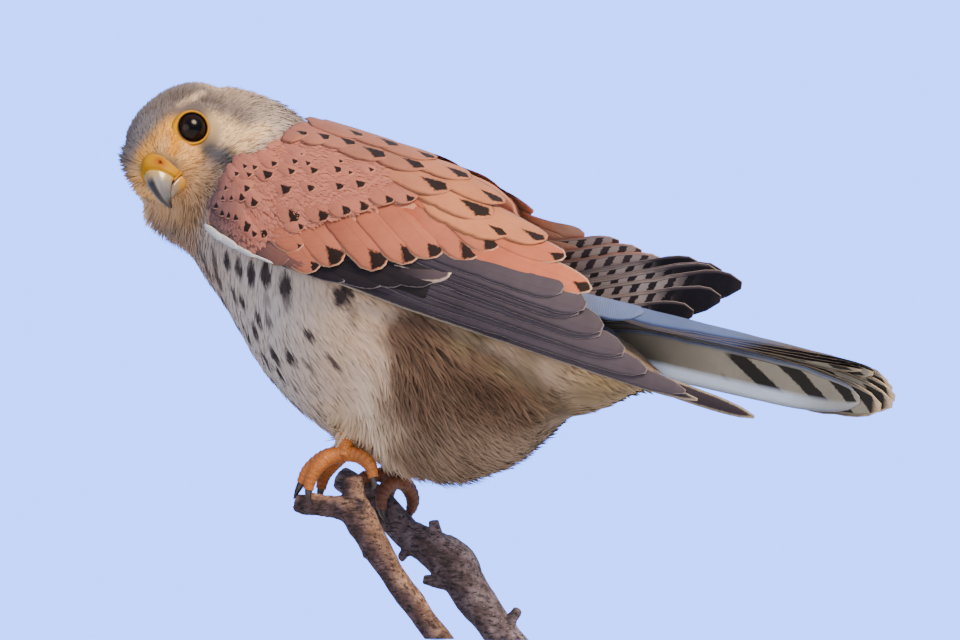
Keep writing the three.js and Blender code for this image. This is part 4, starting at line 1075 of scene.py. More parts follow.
# Arrowhead: |across| / spot + the way from its middle, 0.75 spot before the tip, over 0.65 spot to the tip and
# 1.9 spot to the root, below one.
wide = node(vane, MATH, across, spot, operation="DIVIDE")
middle = node(vane, MATH, node(vane, MATH, spot, 0.75, operation="MULTIPLY"), back, operation="SUBTRACT")
tall = node(vane, MATH, middle, spot, operation="DIVIDE")
before = node(vane, MATH, tall, 1.54, operation="MULTIPLY")
behind = node(vane, MATH, tall, -0.53, operation="MULTIPLY")
tall = node(vane, MATH, before, behind, operation="MAXIMUM")
diamond = node(vane, MATH, wobble, 0.7, node(vane, MATH, wide, tall, operation="ADD"), operation="MULTIPLY_ADD")
inked = node(vane, "ShaderNodeMapRange", diamond, 1.16, 0.86, 0.0, 0.98)
# Bars: a sine of the way back plus half the way across, with rough edges.
slant = node(vane, MATH, across, 0.55, back, operation="MULTIPLY_ADD")
slant = node(vane, MATH, wobble, 2.4, slant, operation="MULTIPLY_ADD")
phase = node(vane, MATH, node(vane, MATH, slant, bars, operation="DIVIDE"), 6.2832, operation="MULTIPLY")
wave = node(vane, MATH, phase, operation="SINE")
barred = node(vane, "ShaderNodeMapRange", wave, 0.0, 0.32, 0.0, 0.95)
dark = node(vane, MATH, inked, barred, operation="MAXIMUM")
shafted = node(vane, "ShaderNodeMapRange", across, 0.3, 0.12, 0.0, 0.14)
dark = node(vane, MATH, dark, shafted, operation="MAXIMUM")
# Soft unevenness of the pigment, some 12 mm and 2 mm across.
patches = node(vane, "ShaderNodeTexNoise", where, into={"Scale": 85, "Detail": 5, "Roughness": 0.65})
uneven = node(vane, "ShaderNodeMapRange", patches.outputs["Fac"], 0.3, 0.7, 0.86, 1.12)
uneven = node(vane, "ShaderNodeCombineXYZ", uneven, uneven, uneven)
base = node(vane, "ShaderNodeMixRGB", 1.0, ground, uneven, blend_type="MULTIPLY")
colour = node(vane, "ShaderNodeMixRGB", dark, base, ink)
worn = node(vane, MATH, wobble, 0.6, edge, operation="MULTIPLY_ADD")
margin = node(vane, MATH, worn, fringe, operation="DIVIDE")
pale = node(vane, "ShaderNodeMapRange", margin, 1.5, 0.4, 0.0, 0.8)
colour = node(vane, "ShaderNodeMixRGB", pale, colour, rim)
# Barbs: slanting ridges that the bump draws, and colour darkened by up to 9% between them, painted shade in those
# grooves.
barb = node(vane, MATH, across, -1.25, back, operation="MULTIPLY_ADD")
barb = node(vane, MATH, wobble, 0.5, barb, operation="MULTIPLY_ADD")
barb = node(vane, MATH, node(vane, MATH, barb, 9.0, operation="MULTIPLY"), operation="SINE")
shaded = node(vane, "ShaderNodeMapRange", barb, -1.0, 1.0, 0.91, 1.0)
combined = node(vane, "ShaderNodeCombineXYZ", shaded, shaded, shaded)
colour = node(vane, "ShaderNodeMixRGB", 1.0, colour, combined, blend_type="MULTIPLY")
grooved = node(vane, "ShaderNodeBump", into={"Strength": 0.35, "Distance": 0.0001, "Height": barb})
closed(vane, Base_Color=colour, Roughness=0.7, Specular_IOR_Level=0.2, Sheen_Weight=0.04, Normal=grooved)

# Marks of the coverts on the wing's sheet: x, z and half width of each black arrowhead, one to a feather.
GREATER_MARKS = [
    [40.7, 8.6, 0.9], [49.1, 3.6, 1.7], [55.6, 9.4, 3.3], [71.9, 13.1, 3.4], [82.2, 18.7, 3.2], [90.1, 23, 2.6],
    [101.2, 27.3, 3.5], [106.5, 32.8, 2.7],
]
MEDIAN_MARKS = [
    [24.6, 8.9, 1.8], [34, 18.4, 2.6], [38.5, 15.5, 1.2], [45.1, 22.1, 2.2], [52.7, 26.8, 1.9], [58.3, 30.6, 2.0],
    [65.6, 36.4, 1.7], [72.3, 39.7, 1.6],
]
SHOULDER_MARKS = [
    [16.3, 54.8, 2.2], [25.4, 56.9, 2.9], [35, 58.6, 3.2], [48.3, 57.1, 4.4], [33.9, 66.5, 2.9], [47.9, 68, 3.9],
    [64.2, 58.1, 4.1], [64.2, 67, 3.2], [77.3, 50.3, 4.8], [80.1, 61.8, 4.0], [95.1, 46.1, 5.2], [96, 56.2, 3.8],
    [106.5, 39.5, 3.0], [118, 44, 3.8],
]
# Tiers: marks, the way their feathers point in x and z, length, width, height of the roots, heights of the first and
# the last tip, and how far their roots may stand ahead of x = 0.
TIERS = {
    "greater": (GREATER_MARKS, (0.88, -0.47), 40, 15, -1.3, (0.32, 0.6), 4),
    "median": (MEDIAN_MARKS, (0.88, -0.47), 24, 12, -1.1, (0.42, 0.7), 4),
    "scapular": (SHOULDER_MARKS, (0.985, -0.17), 38, 17, -0.9, (0.65, 1.3), -9),
}
# Flight feathers end in steps: x and z of each step's tip, how many feathers end there, width and height of the tip.
STEPS = {
    "left": [
        (193, 3.2, 1, 7.5, -2.2),
        (177.5, 6, 3, 9.5, -1.3),
        (167.5, 10.3, 3, 10.5, -0.4),
        (157.5, 15.4, 2, 12, 0.5),
        (149, 20.6, 2, 12, 1.3),
    ],
    "right": [
        (176, 6.5, 1, 13, -2.4),
        (185, 12.5, 1, 13, -1.8),
        (191.5, 18.5, 2, 14, -1.2),
        (182, 22.5, 2, 13, -0.7),
        (168, 25, 1, 13, -0.1),
    ],
}
LEADING = {
    "left": [[44, 1.0, 198, 1.9, 5.6, -2.4, -2.7], [80, 4.5, 219, 2.6, 6.4, -2.9, -3.0]],
    "right": [[44, 0.6, 170, 4, 8, -2.4, -2.8]],
}
TERTIALS = {
    "left": [[62, 33, 139, 28.5, 14, -1, 0.9], [66, 37, 148, 27.2, 12.5, -1, 1.2], [60, 46, 133, 37, 15, -1.2, 0.6]],
    "right": [[62, 36, 121, 35, 14, -1, 0.6], [66, 42, 114, 40, 14, -1, 0.9], [60, 50, 107, 45, 14, -0.9, 1.2]],
}
# Inner flight feathers of the far wing, whose pale barred under sides show beyond the near wing.
INNER = {
    "left": [],
    "right": [[60, 24, 156, 28.5, 13, -1.4, 0.1], [60, 29, 146, 33, 13, -1.2, 0.4], [60, 34, 136, 38, 13, -1.1, 0.7]],
}
SMOKY = [[72, 9, 99, 17.2, 8, -1.2, -0.1], [78, 14, 110, 22.4, 8, -1.1, 0.1], [84, 19, 124, 26.5, 9, -1.0, 0.2]]
PRIMARY_COVERTS = [
    [20, 1.5, 62, 1.8, 5, -2, -0.7], [30, 3.5, 76, 4.6, 7, -2, -0.6],
    [40, 6.5, 84, 8.2, 8, -1.9, -0.5], [50, 10, 94, 12, 9, -1.8, -0.4],
]
WRIST_COVERTS = [[2, 6, 26, 4.5, 9, -0.9, 0.1], [12, 6, 38, 3, 10, -0.9, 0.2], [22, 7, 48, 3.5, 10, -0.9, 0.3]]
WHITE_EDGE = [
    [-2.2, 4.6, 8, 1.6, 2.9, 0, 0.6], [2, 3, 15.5, 0.6, 3, 0, 0.7],
    [9, 1.3, 24, -0.4, 2, 0, 0.6], [20, 0.1, 32, -0.5, 1, 0, 0.4],
]
# Core rows: x, lower edge, upper edge, thickness, height of its outer face.
WING_CORE = [
    [-4, 8, 18, 3, 0], [-1, 3, 27, 6, 0], [6, 0.6, 44, 8, 0], [14, 0.4, 62, 9, 0], [30, 0.8, 72, 10, 0],
    [60, 1.8, 74, 10, 0], [84, 3.5, 70, 9, 0], [94, 4, 63, 7.5, 0], [97, 4, 60, 4, -3.5], [110, 4, 49, 3, -3.7],
    [130, 4.5, 34, 2.2, -3.7], [150, 5, 17, 1.8, -3.5],
]
# Rufous feathers. Their under sides, seen on the far wing over the back, are pale rufous: partly their own paler colour
# and partly painted light that lifts the shade they lie in.
RUFOUS = {
    "tones": ("A8624D", "AE6952"), "ink": "08060A", "rim": "CF9A80", "fringe": 0.3,
    "under": ("DCA890", "E4B49E"), "under_rim": "E6C6B4",
}
DARK = {"ink": "100D14", "tuck": 0}
LOOKS = {
    "flight": {
        **DARK, "tones": ("3B3643", "49444F"), "rim": "A39AA0", "fringe": 0.55, "side_rim": 3.2, "tip_from": 0.84,
        "skew": -0.35, "under": ("A69C98", "10121C"), "under_fade": (0.78, 0.9), "under_bars": 7.6,
        "under_rim": "4A464C", "camber": 0.3,
    },
    "inner": {
        **RUFOUS, "ink": "38303A", "under": ("C4B8B4", "BEB0AA"), "under_bars": 7.6, "under_rim": "B5A69C",
        "camber": 0.3,
    },
    "leading": {**DARK, "tones": ("2E2935", "2A2530"), "rim": "ADA695", "fringe": 0.7, "tip_from": 0.8},
    "smoky": {**DARK, "tones": ("1F1B25", "4C434C"), "rim": "EADACB", "fringe": 0.9, "skew": -0.3},
    "primary": {
        "tones": ("14111A", "1B1721"), "ink": "08070B", "rim": "8D8890", "fringe": 0.3, "skew": -0.3, "camber": 0.3,
    },
    "wrist": {**RUFOUS, "tones": ("5E4648", "79544E"), "rim": "A68C7C", "fringe": 0.35},
    "tertial": {
        **RUFOUS, "tones": ("B05F48", "BA6C50"), "rim": "ECCBAC", "fringe": 0.6, "tip_from": 0.74,
        "spot": [1.2, 3.0, 2.6],
    },
    "greater": {**RUFOUS, "rim": "E8BE9C", "fringe": 0.55, "squeeze": 0.85},
    "median": {**RUFOUS, "tones": ("A06154", "A86A5A"), "rim": "C4917C"},
    "scapular": {
        **RUFOUS, "tones": ("9C6455", "A46D5A"), "rear": "BC7B58", "rim": "C9987C", "fringe": 0.25, "tip_from": 0.66,
        "squeeze": 1.45, "camber": 0.8, "tuck": 0.5,
    },
    "white": {"tones": ("B4C0CC", "BFCAD4"), "ink": "8D8F98", "rim": "C8D1DA", "fringe": 0.4, "camber": 0.2},
}
# The far wing's flight feathers are seen from below, where they are paler and their dark tips begin sooner.
FAR_FLIGHT = {**LOOKS["flight"], "ink": "17141D", "under": ("C4B8B4", "11131D"), "under_fade": (0.72, 0.86)}
FLIGHT_LOOKS = {"left": LOOKS["flight"], "right": FAR_FLIGHT}


def tier(marks, way, long, width, low, highs, ahead):
    """Feathers whose tips lie 1.1 of a mark's half width beyond it, along the way that the tier points. None is longer
    than its tip's x plus ahead, which keeps the roots behind the nape."""
    x, z, size = np.array(marks).T
    way_x, way_z = np.broadcast_to(way, (len(x), 2)).T
    x1, z1 = x + way_x * 1.1 * size, z + way_z * 1.1 * size
    long = np.maximum(np.minimum(long, x1 + ahead), 9)
    high = np.linspace(*highs, len(x))
    flat = np.stack([x1 - way_x * long, z1 - way_z * long, x1, z1, width + 0 * x, low + 0 * x, high], -1)
    return flat, size


FLIGHT_FROM = 60
ROOT_PACE, TIP_PACE_X, TIP_PACE_Z = 2.3, 10, 3.2


def flight(steps):
    """Rows of flight feathers from their steps. Roots stand 2.3 mm apart up the wing from its lower edge, and tips of
    one step 10 mm apart along the wing and 3.2 mm up it."""
    tip_x, tip_z, count, width, high = np.array(steps).T
    chosen = np.repeat(np.arange(len(steps)), count.astype(int))
    order = np.arange(len(chosen))
    among = order - np.searchsorted(chosen, chosen)
    tips = [tip_x[chosen] - TIP_PACE_X * among, tip_z[chosen] + TIP_PACE_Z * among]
    heights = [-3 + 0.16 * order, high[chosen] + 0.12 * among]
    return np.stack([FLIGHT_FROM + 0.0 * order, 2.5 + ROOT_PACE * order, *tips, width[chosen], *heights], -1)


CORE_UNDER, CORE_EDGE = 0.7, 1.2


def core(wing, until):
    """The wing's flesh and quill bases under the vanes: two faces over the sheet that draw together at both edges
    with rim = sqrt(1 - (2 j - 1) ** 4), j running from edge to edge. The outer one lies 0.7 mm under its rows' height
    and a quarter of the thickness lower at rim 0, the inner one 1.2 mm under it and 0.35 to 1 of the rest deeper."""
    x = np.linspace(-3, until, 60)
    low, high, thick, height = read(WING_CORE, x).T[:, :, None]
    j = np.linspace(0, 1, 26)
    z = low + (high - low) * j
    rim_rise = np.sqrt(np.clip(1 - (2 * j - 1) ** 4, 0, 1))
    outer = wing_sheet(wing, x[:, None], z, height - CORE_UNDER - 0.25 * thick * (1 - rim_rise))
    inner = wing_sheet(wing, x[:, None], z, height - CORE_EDGE - (thick - CORE_EDGE) * (0.35 + 0.65 * rim_rise))
    return np.concatenate([outer, inner[:, ::-1]], 1)


# Lesser coverts: small soft feathers over the shoulder, too fine to read one by one, with black flecks in rows.
FLECKS = [
    [5, 30.6, 0.8], [9, 31.5, 0.9], [15.5, 35.6, 1.1], [22.8, 39.4, 1.1], [28.2, 40.4, 0.9], [23.4, 43.6, 0.5],
    [39.3, 46.3, 0.8], [3.4, 26.7, 0.8], [8.5, 27.9, 0.9], [15.8, 30.3, 1.7], [24.1, 34.7, 1.2], [32.2, 38.3, 1.3],
    [40.7, 42.1, 1.4], [45.7, 42.6, 0.8], [52.2, 47, 0.9], [10.5, 22.5, 1.1], [26, 27, 1.8], [35.2, 30.7, 1.3],
    [45.4, 35.2, 1.4], [52.3, 38.9, 1.6], [10.1, 18.5, 1.2], [16, 18.2, 1.4], [4.6, 10.6, 0.9], [7.7, 10.6, 0.9],
    [11.0, 10.6, 0.9], [17.3, 8.8, 1.7], [21, 7.4, 1.0], [2, 20, 0.7], [2.5, 16, 0.7], [6, 17, 0.7], [1, 12.5, 0.9],
]


def on_sheet(points):
    """Wing x and z of points: x along the wing, z = R (asin(h / R + sin lean) - lean) round its arc."""
    x, h = ((points - WRIST) @ way for way in WING_LINE)
    _, radius, lean = np.moveaxis(read(SHEET, x), -1, 0)
    lean = np.radians(lean)
    return x, radius * (np.arcsin(np.clip(h / radius + np.sin(lean), -1, 1)) - lean)


def fleck_way(x, z):
    """Way the lesser coverts point on the sheet: back and a little down, but steeply down by the wrist."""
    turn = np.radians(-20 - 55 * (1 - step(4, 30, x)) * (1 - step(14, 26, z)))
    return np.stack([np.cos(turn), np.sin(turn)], -1)


def shoulder(points, ragged=0.0):
    """Linear colour of the lesser coverts: rufous, browner and more purple towards the wrist and greyer by the nape."""
    x, z = on_sheet(points + ragged * 0.2)
    colour = blend("AC6D5C", "A36B60", 0.8 * clouds(points, 8, 81))
    colour = blend(colour, "80585A", (1 - step(4, 30, x + 0.5 * z)) * 0.9)
    colour = blend(colour, "54464C", (1 - step(2, 24, x + 0.9 * z - 4)) * 0.9)
    colour = blend(colour, "97695E", step(44, 60, z) * (1 - step(8, 34, x)) * 0.8)
    return colour * (0.92 + 0.16 * clouds(points, 1.8, 82))[..., None]


SHORT_BLADES = 7000
SHORT_FROM, SHORT_FIELD = [[-5], [-2]], [[66], [76]]
SHORT_ROOT = 0.5
# How far back the short coat reaches, in x, at each z up the wing.
SHORT_REACH = [[0, 9, 20, 30, 40, 52, 60, 72], [14, 19, 36, 50, 60, 50, 28, 22]]


def short_coat(name, wing, seed):
    """Blades over the shoulder, 1.4 to the square millimetre, from the leading edge back to where the median coverts
    and the shoulder feathers begin. They point back along the wing and a little down."""
    rng = np.random.default_rng(seed)
    x, z = rng.random((2, SHORT_BLADES)) * SHORT_FIELD + SHORT_FROM
    low, high = read(WING_CORE, x)[:, :2].T
    reach = np.interp(z, *SHORT_REACH) + 2 * rng.random(len(x))
    kept = (z > low + 0.6 + 5 * (1 - step(8, 26, x))) & (z < high - 1) & (x < reach)
    x, z = x[kept], z[kept]
    roots = wing_sheet(wing, x, z, -SHORT_ROOT)
    normals = unit(wing_sheet(wing, x, z, SHORT_ROOT) - roots)
    to_x, to_z = fleck_way(x, z).T
    ahead = wing_sheet(wing, x + to_x, z + to_z, -SHORT_ROOT) - roots
    ways = unit(ahead - normals * np.sum(ahead * normals, -1, keepdims=True))
    ways = unit(ways + np.cross(normals, ways) * (rng.random((len(x), 1)) - 0.5) * 0.2)
    front = 1 - step(0, 24, x)
    length = (8.2 - 4.2 * front) * (0.88 + 0.24 * rng.random(len(x)))
    width = (3.0 - 1.2 * front) * (0.85 + 0.3 * rng.random(len(x)))
    lift = 0.1 + 0.02 * (rng.random(len(x)) - 0.5)
    chart = np.stack([(x + 10) / 90, (z + 6) / 90], -1)
    shade = 0.96 + 0.08 * rng.random(len(x))
    return blades(name, roots, normals, ways, length, width, lift, 0.03 + 0 * x, shade, shoulder, chart, 0.06)


for name, wing in WINGS.items():
    def on_wing(x, z, height, wing=wing):
        return wing_sheet(wing, x, z, height)

    groups = [
        vanes(on_wing, LEADING[name], LOOKS["leading"], 30, stations=24),
        vanes(on_wing, flight(STEPS[name]), FLIGHT_LOOKS[name], 31, stations=24),
        vanes(on_wing, PRIMARY_COVERTS, LOOKS["primary"], 32),
        vanes(on_wing, SMOKY, LOOKS["smoky"], 38),
        vanes(on_wing, TERTIALS[name], LOOKS["tertial"], 33, stations=20),
        vanes(on_wing, WRIST_COVERTS, LOOKS["wrist"], 34),
        vanes(on_wing, WHITE_EDGE, LOOKS["white"], 37, stations=9, across=5),
    ]
    if INNER[name]:
        groups.append(vanes(on_wing, INNER[name], LOOKS["inner"], 35, stations=20))
    for number, (kind, plan) in enumerate(TIERS.items()):
        placed, sizes = tier(*plan)
        # The far wing's front shoulder feathers lie lower, close to the back.
        if name == "right":
            placed[:, 6] -= 2.2 * (1 - step(48, 62, placed[:, 2]))
        groups.append(vanes(on_wing, placed, {**LOOKS[kind], "spot": sizes}, 40 + number, stations=18))
    placed, sizes = tier(FLECKS, fleck_way(*np.array(FLECKS).T[:2]), 12, 7.5, -0.6, (0.62, 0.82), 4)
    paint = shoulder(on_wing(placed[:, 2], placed[:, 3], 0.0))
    flecked = {**RUFOUS, "spot": sizes * 1.15, "paint": paint, "camber": 0.9, "tuck": 0.5}
    groups.append(vanes(on_wing, placed, flecked, 46))
    fitted(feathered(f"feathers_{name}", groups), vane, "rufous_feathers", f"wing_{name}")
    fitted(short_coat(f"coat_wing_{name}", wing, 45), down, "rufous_feathers")
    solid = shell(core(wing, 149 if name == "left" else 100))
    flesh = piece(f"wing_core_{name}", *solid)
    x, z = on_sheet(solid[0])
    tinted(flesh, blend("B57C66", "17141B", step(22, 34, x) * (1 - step(14, 20, z))))
    fitted(flesh, down, "rufous_feathers")

# Tail. Nine long feathers show of the closed tail, a narrow roof that is turned so that its under side shows, with
# tail coverts over their roots: blue-grey above, olive-grey with slanting black bars below, a black band before pale
# tips.
TAIL_ROOT = np.array([72, -4, 214.5])
TAIL_RIDGE = 3.5
TAIL_LINE = sloped(15.5)
TAIL_LEAN = np.radians(58)
TAIL_BEND = 4
ROOF = np.linspace(-20, 36, 561)


def tail_sheet(x, s, height):
    """Point over the tail's sheet. Across the tail the sheet leans by 58 degrees * tanh(s / 4), away from the ridge
    at s = 0 on both sides, and the running sums of the lean's cosine and sine give its section."""
    x, s, height = np.broadcast_arrays(x, s, height)
    lean, to = (TAIL_LEAN * np.tanh(place / TAIL_BEND) for place in (ROOF, s))
    pace = ROOF[1] - ROOF[0]
    out, drop = (np.cumsum(part(lean)) * pace for part in (np.cos, np.sin))
    out, drop = (np.interp(s, ROOF, total - np.interp(0, ROOF, total)) for total in (out, drop))
    h = TAIL_RIDGE - drop + height * np.cos(to)
    return set_out(TAIL_ROOT, TAIL_LINE, x, h, out + height * np.sin(to))


# Rows as for the wings, from the feather at the near edge over the middle pair to the outermost on the far side.
TAIL_FEATHERS = {
    "near": [[8, -4, 124, 2, 13, -3.2, -2.8], [8, -4.5, 128, 4, 14, -2.2, -1.8], [8, -5, 131, 6, 15.5, -1.2, -0.9]],
    "middle": [[8, -5, 133, 8.5, 17, -0.3, -0.2]],
    "far": [
        [8, 3, 135, 10, 18, -1.0, -0.9],
        [8, 7, 136.5, 12.5, 18, -1.8, -1.5],
        [8, 11, 136, 15, 18, -2.6, -2.2],
        [8, 15, 132, 17, 19, -3.4, -2.9],
    ],
    "outer": [[8, 19, 124, 15.8, 19, -4.2, -3.6]],
}
TAIL_COVERTS = [[-4, -5, 40, -4.5, 15, -0.3, 0.2], [-4, 5, 36, 6, 15, -0.3, 0.2]]
GREY = {
    "tones": ("566CA0", "6478A2"), "ink": "0C0B10", "rim": "8C94A6", "fringe": 0.2, "under": ("5E5D57", "88877C"),
    "under_bars": 21, "under_rim": "D8C4A8", "bars_from": (0.55, 0.57), "skew": -1.15, "under_fade": (0.25, 0.6),
    "slant": 0.75, "shift": -6, "side_rim": 7, "camber": 0.25, "tuck": 0,
}
PALE_TIPPED = {**GREY, "skew": 0, "rim": "C9B49C", "fringe": 1.6}
TAIL_LOOKS = {
    "near": {**PALE_TIPPED, "tones": ("586EA2", "121118"), "fade": (0.56, 0.66)},
    "middle": {**PALE_TIPPED, "tones": ("586EA2", "5B5450"), "fade": (0.5, 0.75)},
    "far": {**GREY, "tones": ("566CA0", "0F0E14"), "fade": (0.6, 0.75), "rim": "D8C4A8", "fringe": 2.4},
    "outer": {**GREY, "web": "C9DDF8", "web_clear": 1, "rim": "C9CCD2", "under_rim": "9AA0A8", "fringe": 1.0},
}
groups = [vanes(tail_sheet, rows, TAIL_LOOKS[kind], 51, stations=26, roll=0) for kind, rows in TAIL_FEATHERS.items()]
groups.append(vanes(tail_sheet, TAIL_COVERTS, {**GREY, "tones": ("6A7CA8", "5D72A3"), "tip_from": 0.6}, 55, roll=0))
fitted(feathered("feathers_tail", groups), vane, "tail_feathers", "tail")

# Eyes. A near-black brown eye under a clear wet cornea, in a raised ring of bare yellow skin that is finely
# beaded and widens towards the bill.
RING_INNER, RING_OUTER, RING_FRONT = 5.6, 6.9, 5.2


def lathed(side, radius, out, around):
    """A profile of radii and distances turned about an eye's line of sight; both may vary with the angle."""
    middle, ahead, up, across = eye_frame(side)
    turn = circle(around)
    radius, out, _ = np.broadcast_arrays(radius, out, np.zeros((1, around)))
    over, beside = radius * np.cos(turn), radius * np.sin(turn)
    return middle + out[..., None] * ahead + over[..., None] * up + beside[..., None] * across


eyeball = finish("wet_eye")
tint = node(eyeball, "ShaderNodeAttribute", attribute_name="tint").outputs["Color"]
closed(eyeball, Base_Color=tint, Roughness=0.2, IOR=1.36, Specular_IOR_Level=0.3, Coat_Weight=0.03, Coat_Roughness=0.1)
lid = finish("bare_yellow_skin")
where = node(lid, "ShaderNodeTexCoord").outputs["Object"]
tint = node(lid, "ShaderNodeAttribute", attribute_name="tint").outputs["Color"]
# Waxy skin with fine beads about 0.6 mm across.
beads = node(lid, "ShaderNodeTexVoronoi", where, into={"Scale": 1600}, feature="SMOOTH_F1")
raised = node(lid, "ShaderNodeBump", into={"Strength": 0.35, "Distance": 0.00012, "Height": beads.outputs["Distance"]})
closed(lid, Base_Color=tint, Roughness=0.55, Specular_IOR_Level=0.16, Normal=raised)

LID_REACH = EYE_RADIUS + 0.3
LID_DEPTHS = np.array([0.4, 2.2, 3.7, 4.75])[:, None]  # heights over the ball's middle, up to its brim
LID_STEPS, BEADS = 96, 30
TO_BILL = F + U * 0.1

for name, side in EYES.items():
    polar = np.linspace(0.004, np.pi - 0.004, 40)[:, None]
    parts = shell(lathed(side, EYE_RADIUS * np.sin(polar), EYE_RADIUS * np.cos(polar), 56))
    middle, ahead, up, across = eye_frame(side)
    away = parts[0] - middle
    from_axis = np.degrees(np.arccos(np.clip(away @ ahead / EYE_RADIUS, -1, 1)))
    iris = linear("1C100B") * (0.7 + 0.6 * clouds(unit(away) * 9, 1.0, 51))[:, None]
    brown = blend("050404", iris, step(25, 31, from_axis) * (1 - step(38, 46, from_axis)))
    fitted(tinted(piece(f"eyeball_{name}", *parts), brown), eyeball, "eye", f"eye_{name}")
    # Ring: up the ball, over a rounded brim and down to the face; the outer edge reaches out towards the bill.
    turn = circle(LID_STEPS)[None, :]
    swing = np.angle(np.exp(1j * (turn - np.arctan2(TO_BILL @ across, TO_BILL @ up))))
    wide = 2.9 * np.exp(-((swing / 0.75) ** 2))
    brim = np.linspace(0, 1, 9)[:, None]
    crest = (0.62 + 0.07 * np.sin(turn * BEADS)) * np.sin(np.pi * np.clip(brim * 1.06, 0, 1))
    radius = [
        np.sqrt(LID_REACH**2 - LID_DEPTHS**2) + 0 * turn,
        RING_INNER + (RING_OUTER + wide - RING_INNER) * brim,
        RING_OUTER + wide + 0.3,
    ]
    out = [LID_DEPTHS + 0 * turn, RING_FRONT - 0.75 + crest - (0.9 + 0.35 * wide) * brim**3, 0.9 + 0 * turn]
    rings = lathed(side, np.concatenate(radius), np.concatenate(out), LID_STEPS)
    m, n, _ = rings.shape
    obj = piece(f"lid_{name}", rings.reshape(-1, 3), bands(m + 1, n) % (m * n))
    outward(obj)
    level = np.repeat(np.concatenate([np.zeros(len(LID_DEPTHS)), brim.ravel(), [1]]), n)
    # Yellow, paler along the middle of the brim; near black where the skin dips beside the ball, painted shade in that
    # crease.
    yellow = blend("9C6E00", "B88600", np.sin(np.pi * level))
    yellow = blend(yellow, "1A0F06", (1 - step(0.05, 0.25, level)) * 0.9)
    fitted(tinted(obj, yellow), lid, "bare_skin", f"eyelid_{name}")

# Bill. A short hooked bill of polished horn, pale yellow at the root, blue-grey, then black down the culmen to
# the tip; a waxy yellow cere with round nostrils caps its root, and a fold of yellow skin lines the gape.
# Rows: share of its length, the culmen's place ahead and up in the head's frame, the cutting edge's, half width.
CULMEN = [
    [0, 18.5, 5, 14.5, -7.6, 7.8],
    [0.2, 22, 4.7, 18, -7.3, 6.9],
    [0.4, 25.3, 2.8, 21.5, -7.2, 5.8],
    [0.6, 28.4, -1.4, 24.6, -8, 4.6],
    [0.75, 30.2, -6, 26.8, -10, 3.3],
    [0.88, 30.9, -10.6, 28.4, -12.4, 2],
    [1, 29.9, -15.4, 29.3, -15.3, 0.5],
]
# Rows: place ahead, height of its top and of its bottom, half width.
LOWER_BILL = [
    [13.5, -8.3, -13.6, 7.3],
    [18, -8.2, -13.4, 6.3],
    [21.5, -8.2, -13.2, 5.1],
    [24.3, -8.9, -13, 3.7],
    [26.4, -10.6, -12.9, 2],
]
CERE_END = 0.52
NOSTRIL = np.array([23.2, 0.5, 4.7])
UPPER_STEPS, FLOOR_STEPS = 29, 7


def half_circle(count):
    """That many angles from one side over the top to the other, in radians."""
    return np.linspace(-0.5, 0.5, count) * np.pi


def bill_shell(start, end, grow, steps, around=UPPER_STEPS):
    """Half ellipses stood on the cutting edge, up to the culmen: height * cos ** 0.85, half width * sin; closed
    below."""
    share = np.linspace(start, end, steps)
    cf, cu, ef, eu, half = read(CULMEN, share).T[:, :, None]
    height = np.hypot(cf - ef, cu - eu)
    up_f, up_u = (cf - ef) / height, (cu - eu) / height
    turn = half_circle(around)
    rise = (height + grow) * np.clip(np.cos(turn), 0, 1) ** 0.85
    upper = np.stack([ef + up_f * rise, eu + up_u * rise, (half + grow) * np.sin(turn)], -1)
    below = np.linspace(0.8, -0.8, FLOOR_STEPS)
    drop = 0.5 * (1 - below**2) - grow
    lower = np.stack([ef + up_f * drop, eu + up_u * drop, (half + grow) * below], -1)
    return np.concatenate([upper, lower], 1), share


local, share = bill_shell(CERE_END - 0.03, 1, 0, 44)
horn = finish("polished_horn")
tint = node(horn, "ShaderNodeAttribute", attribute_name="tint").outputs["Color"]
where = node(horn, "ShaderNodeTexCoord").outputs["Object"]
# Growth lines of the horn, about 0.5 mm apart.
lines = node(horn, "ShaderNodeTexNoise", where, into={"Scale": 1300, "Detail": 4})
worn = node(horn, "ShaderNodeBump", into={"Strength": 0.12, "Distance": 0.0001, "Height": lines.outputs["Fac"]})
closed(horn, Base_Color=tint, Roughness=0.24, IOR=1.54, Coat_Weight=0.3, Coat_Roughness=0.12, Normal=worn)
parts = shell(on_head(local))
rows, around = local.shape[:2]
along_bill = np.append(np.repeat(share, around), [share[0], share[-1]])
ridge = np.append(np.tile(np.append(np.cos(half_circle(UPPER_STEPS)), np.zeros(FLOOR_STEPS)), rows), [0, 0])
tone = blend("B49A5A", "7E7B78", step(0.5, 0.68, along_bill))
tone = blend(tone, "50545E", step(0.62, 0.86, along_bill) * 0.8)
black = np.maximum(step(0.84, 0.95, along_bill), step(0.56, 0.68, along_bill) * step(0.84, 0.95, ridge))
mottled = (0.88 + 0.2 * clouds(parts[0], 2.2, 61))[:, None]
tone = tone * mottled + (linear("16161A") - tone) * black[:, None] * 0.95
fitted(tinted(piece("bill_upper", *parts), np.clip(tone, 0, 1)), horn, "bill_horn", "beak_upper")

local, share = bill_shell(0.02, CERE_END, 0.7, 34, 41)
from_nostril = span(np.abs(local) - NOSTRIL)
swollen = 0.5 * np.exp(-((from_nostril / 2.4) ** 2))
edge_round = -0.75 * step(0.85, 1.0, (share / CERE_END))[:, None]
hole = -1.5 * (1 - step(0.45, 1.15, from_nostril))
local = local + unit(local - [16, -3, 0]) * (swollen + edge_round + hole)[..., None]
parts = shell(on_head(local))
near = np.append(span(np.abs(local) - NOSTRIL), [9, 9])
wax = blend("9A6E00", "B88600", clouds(parts[0], 3, 62))
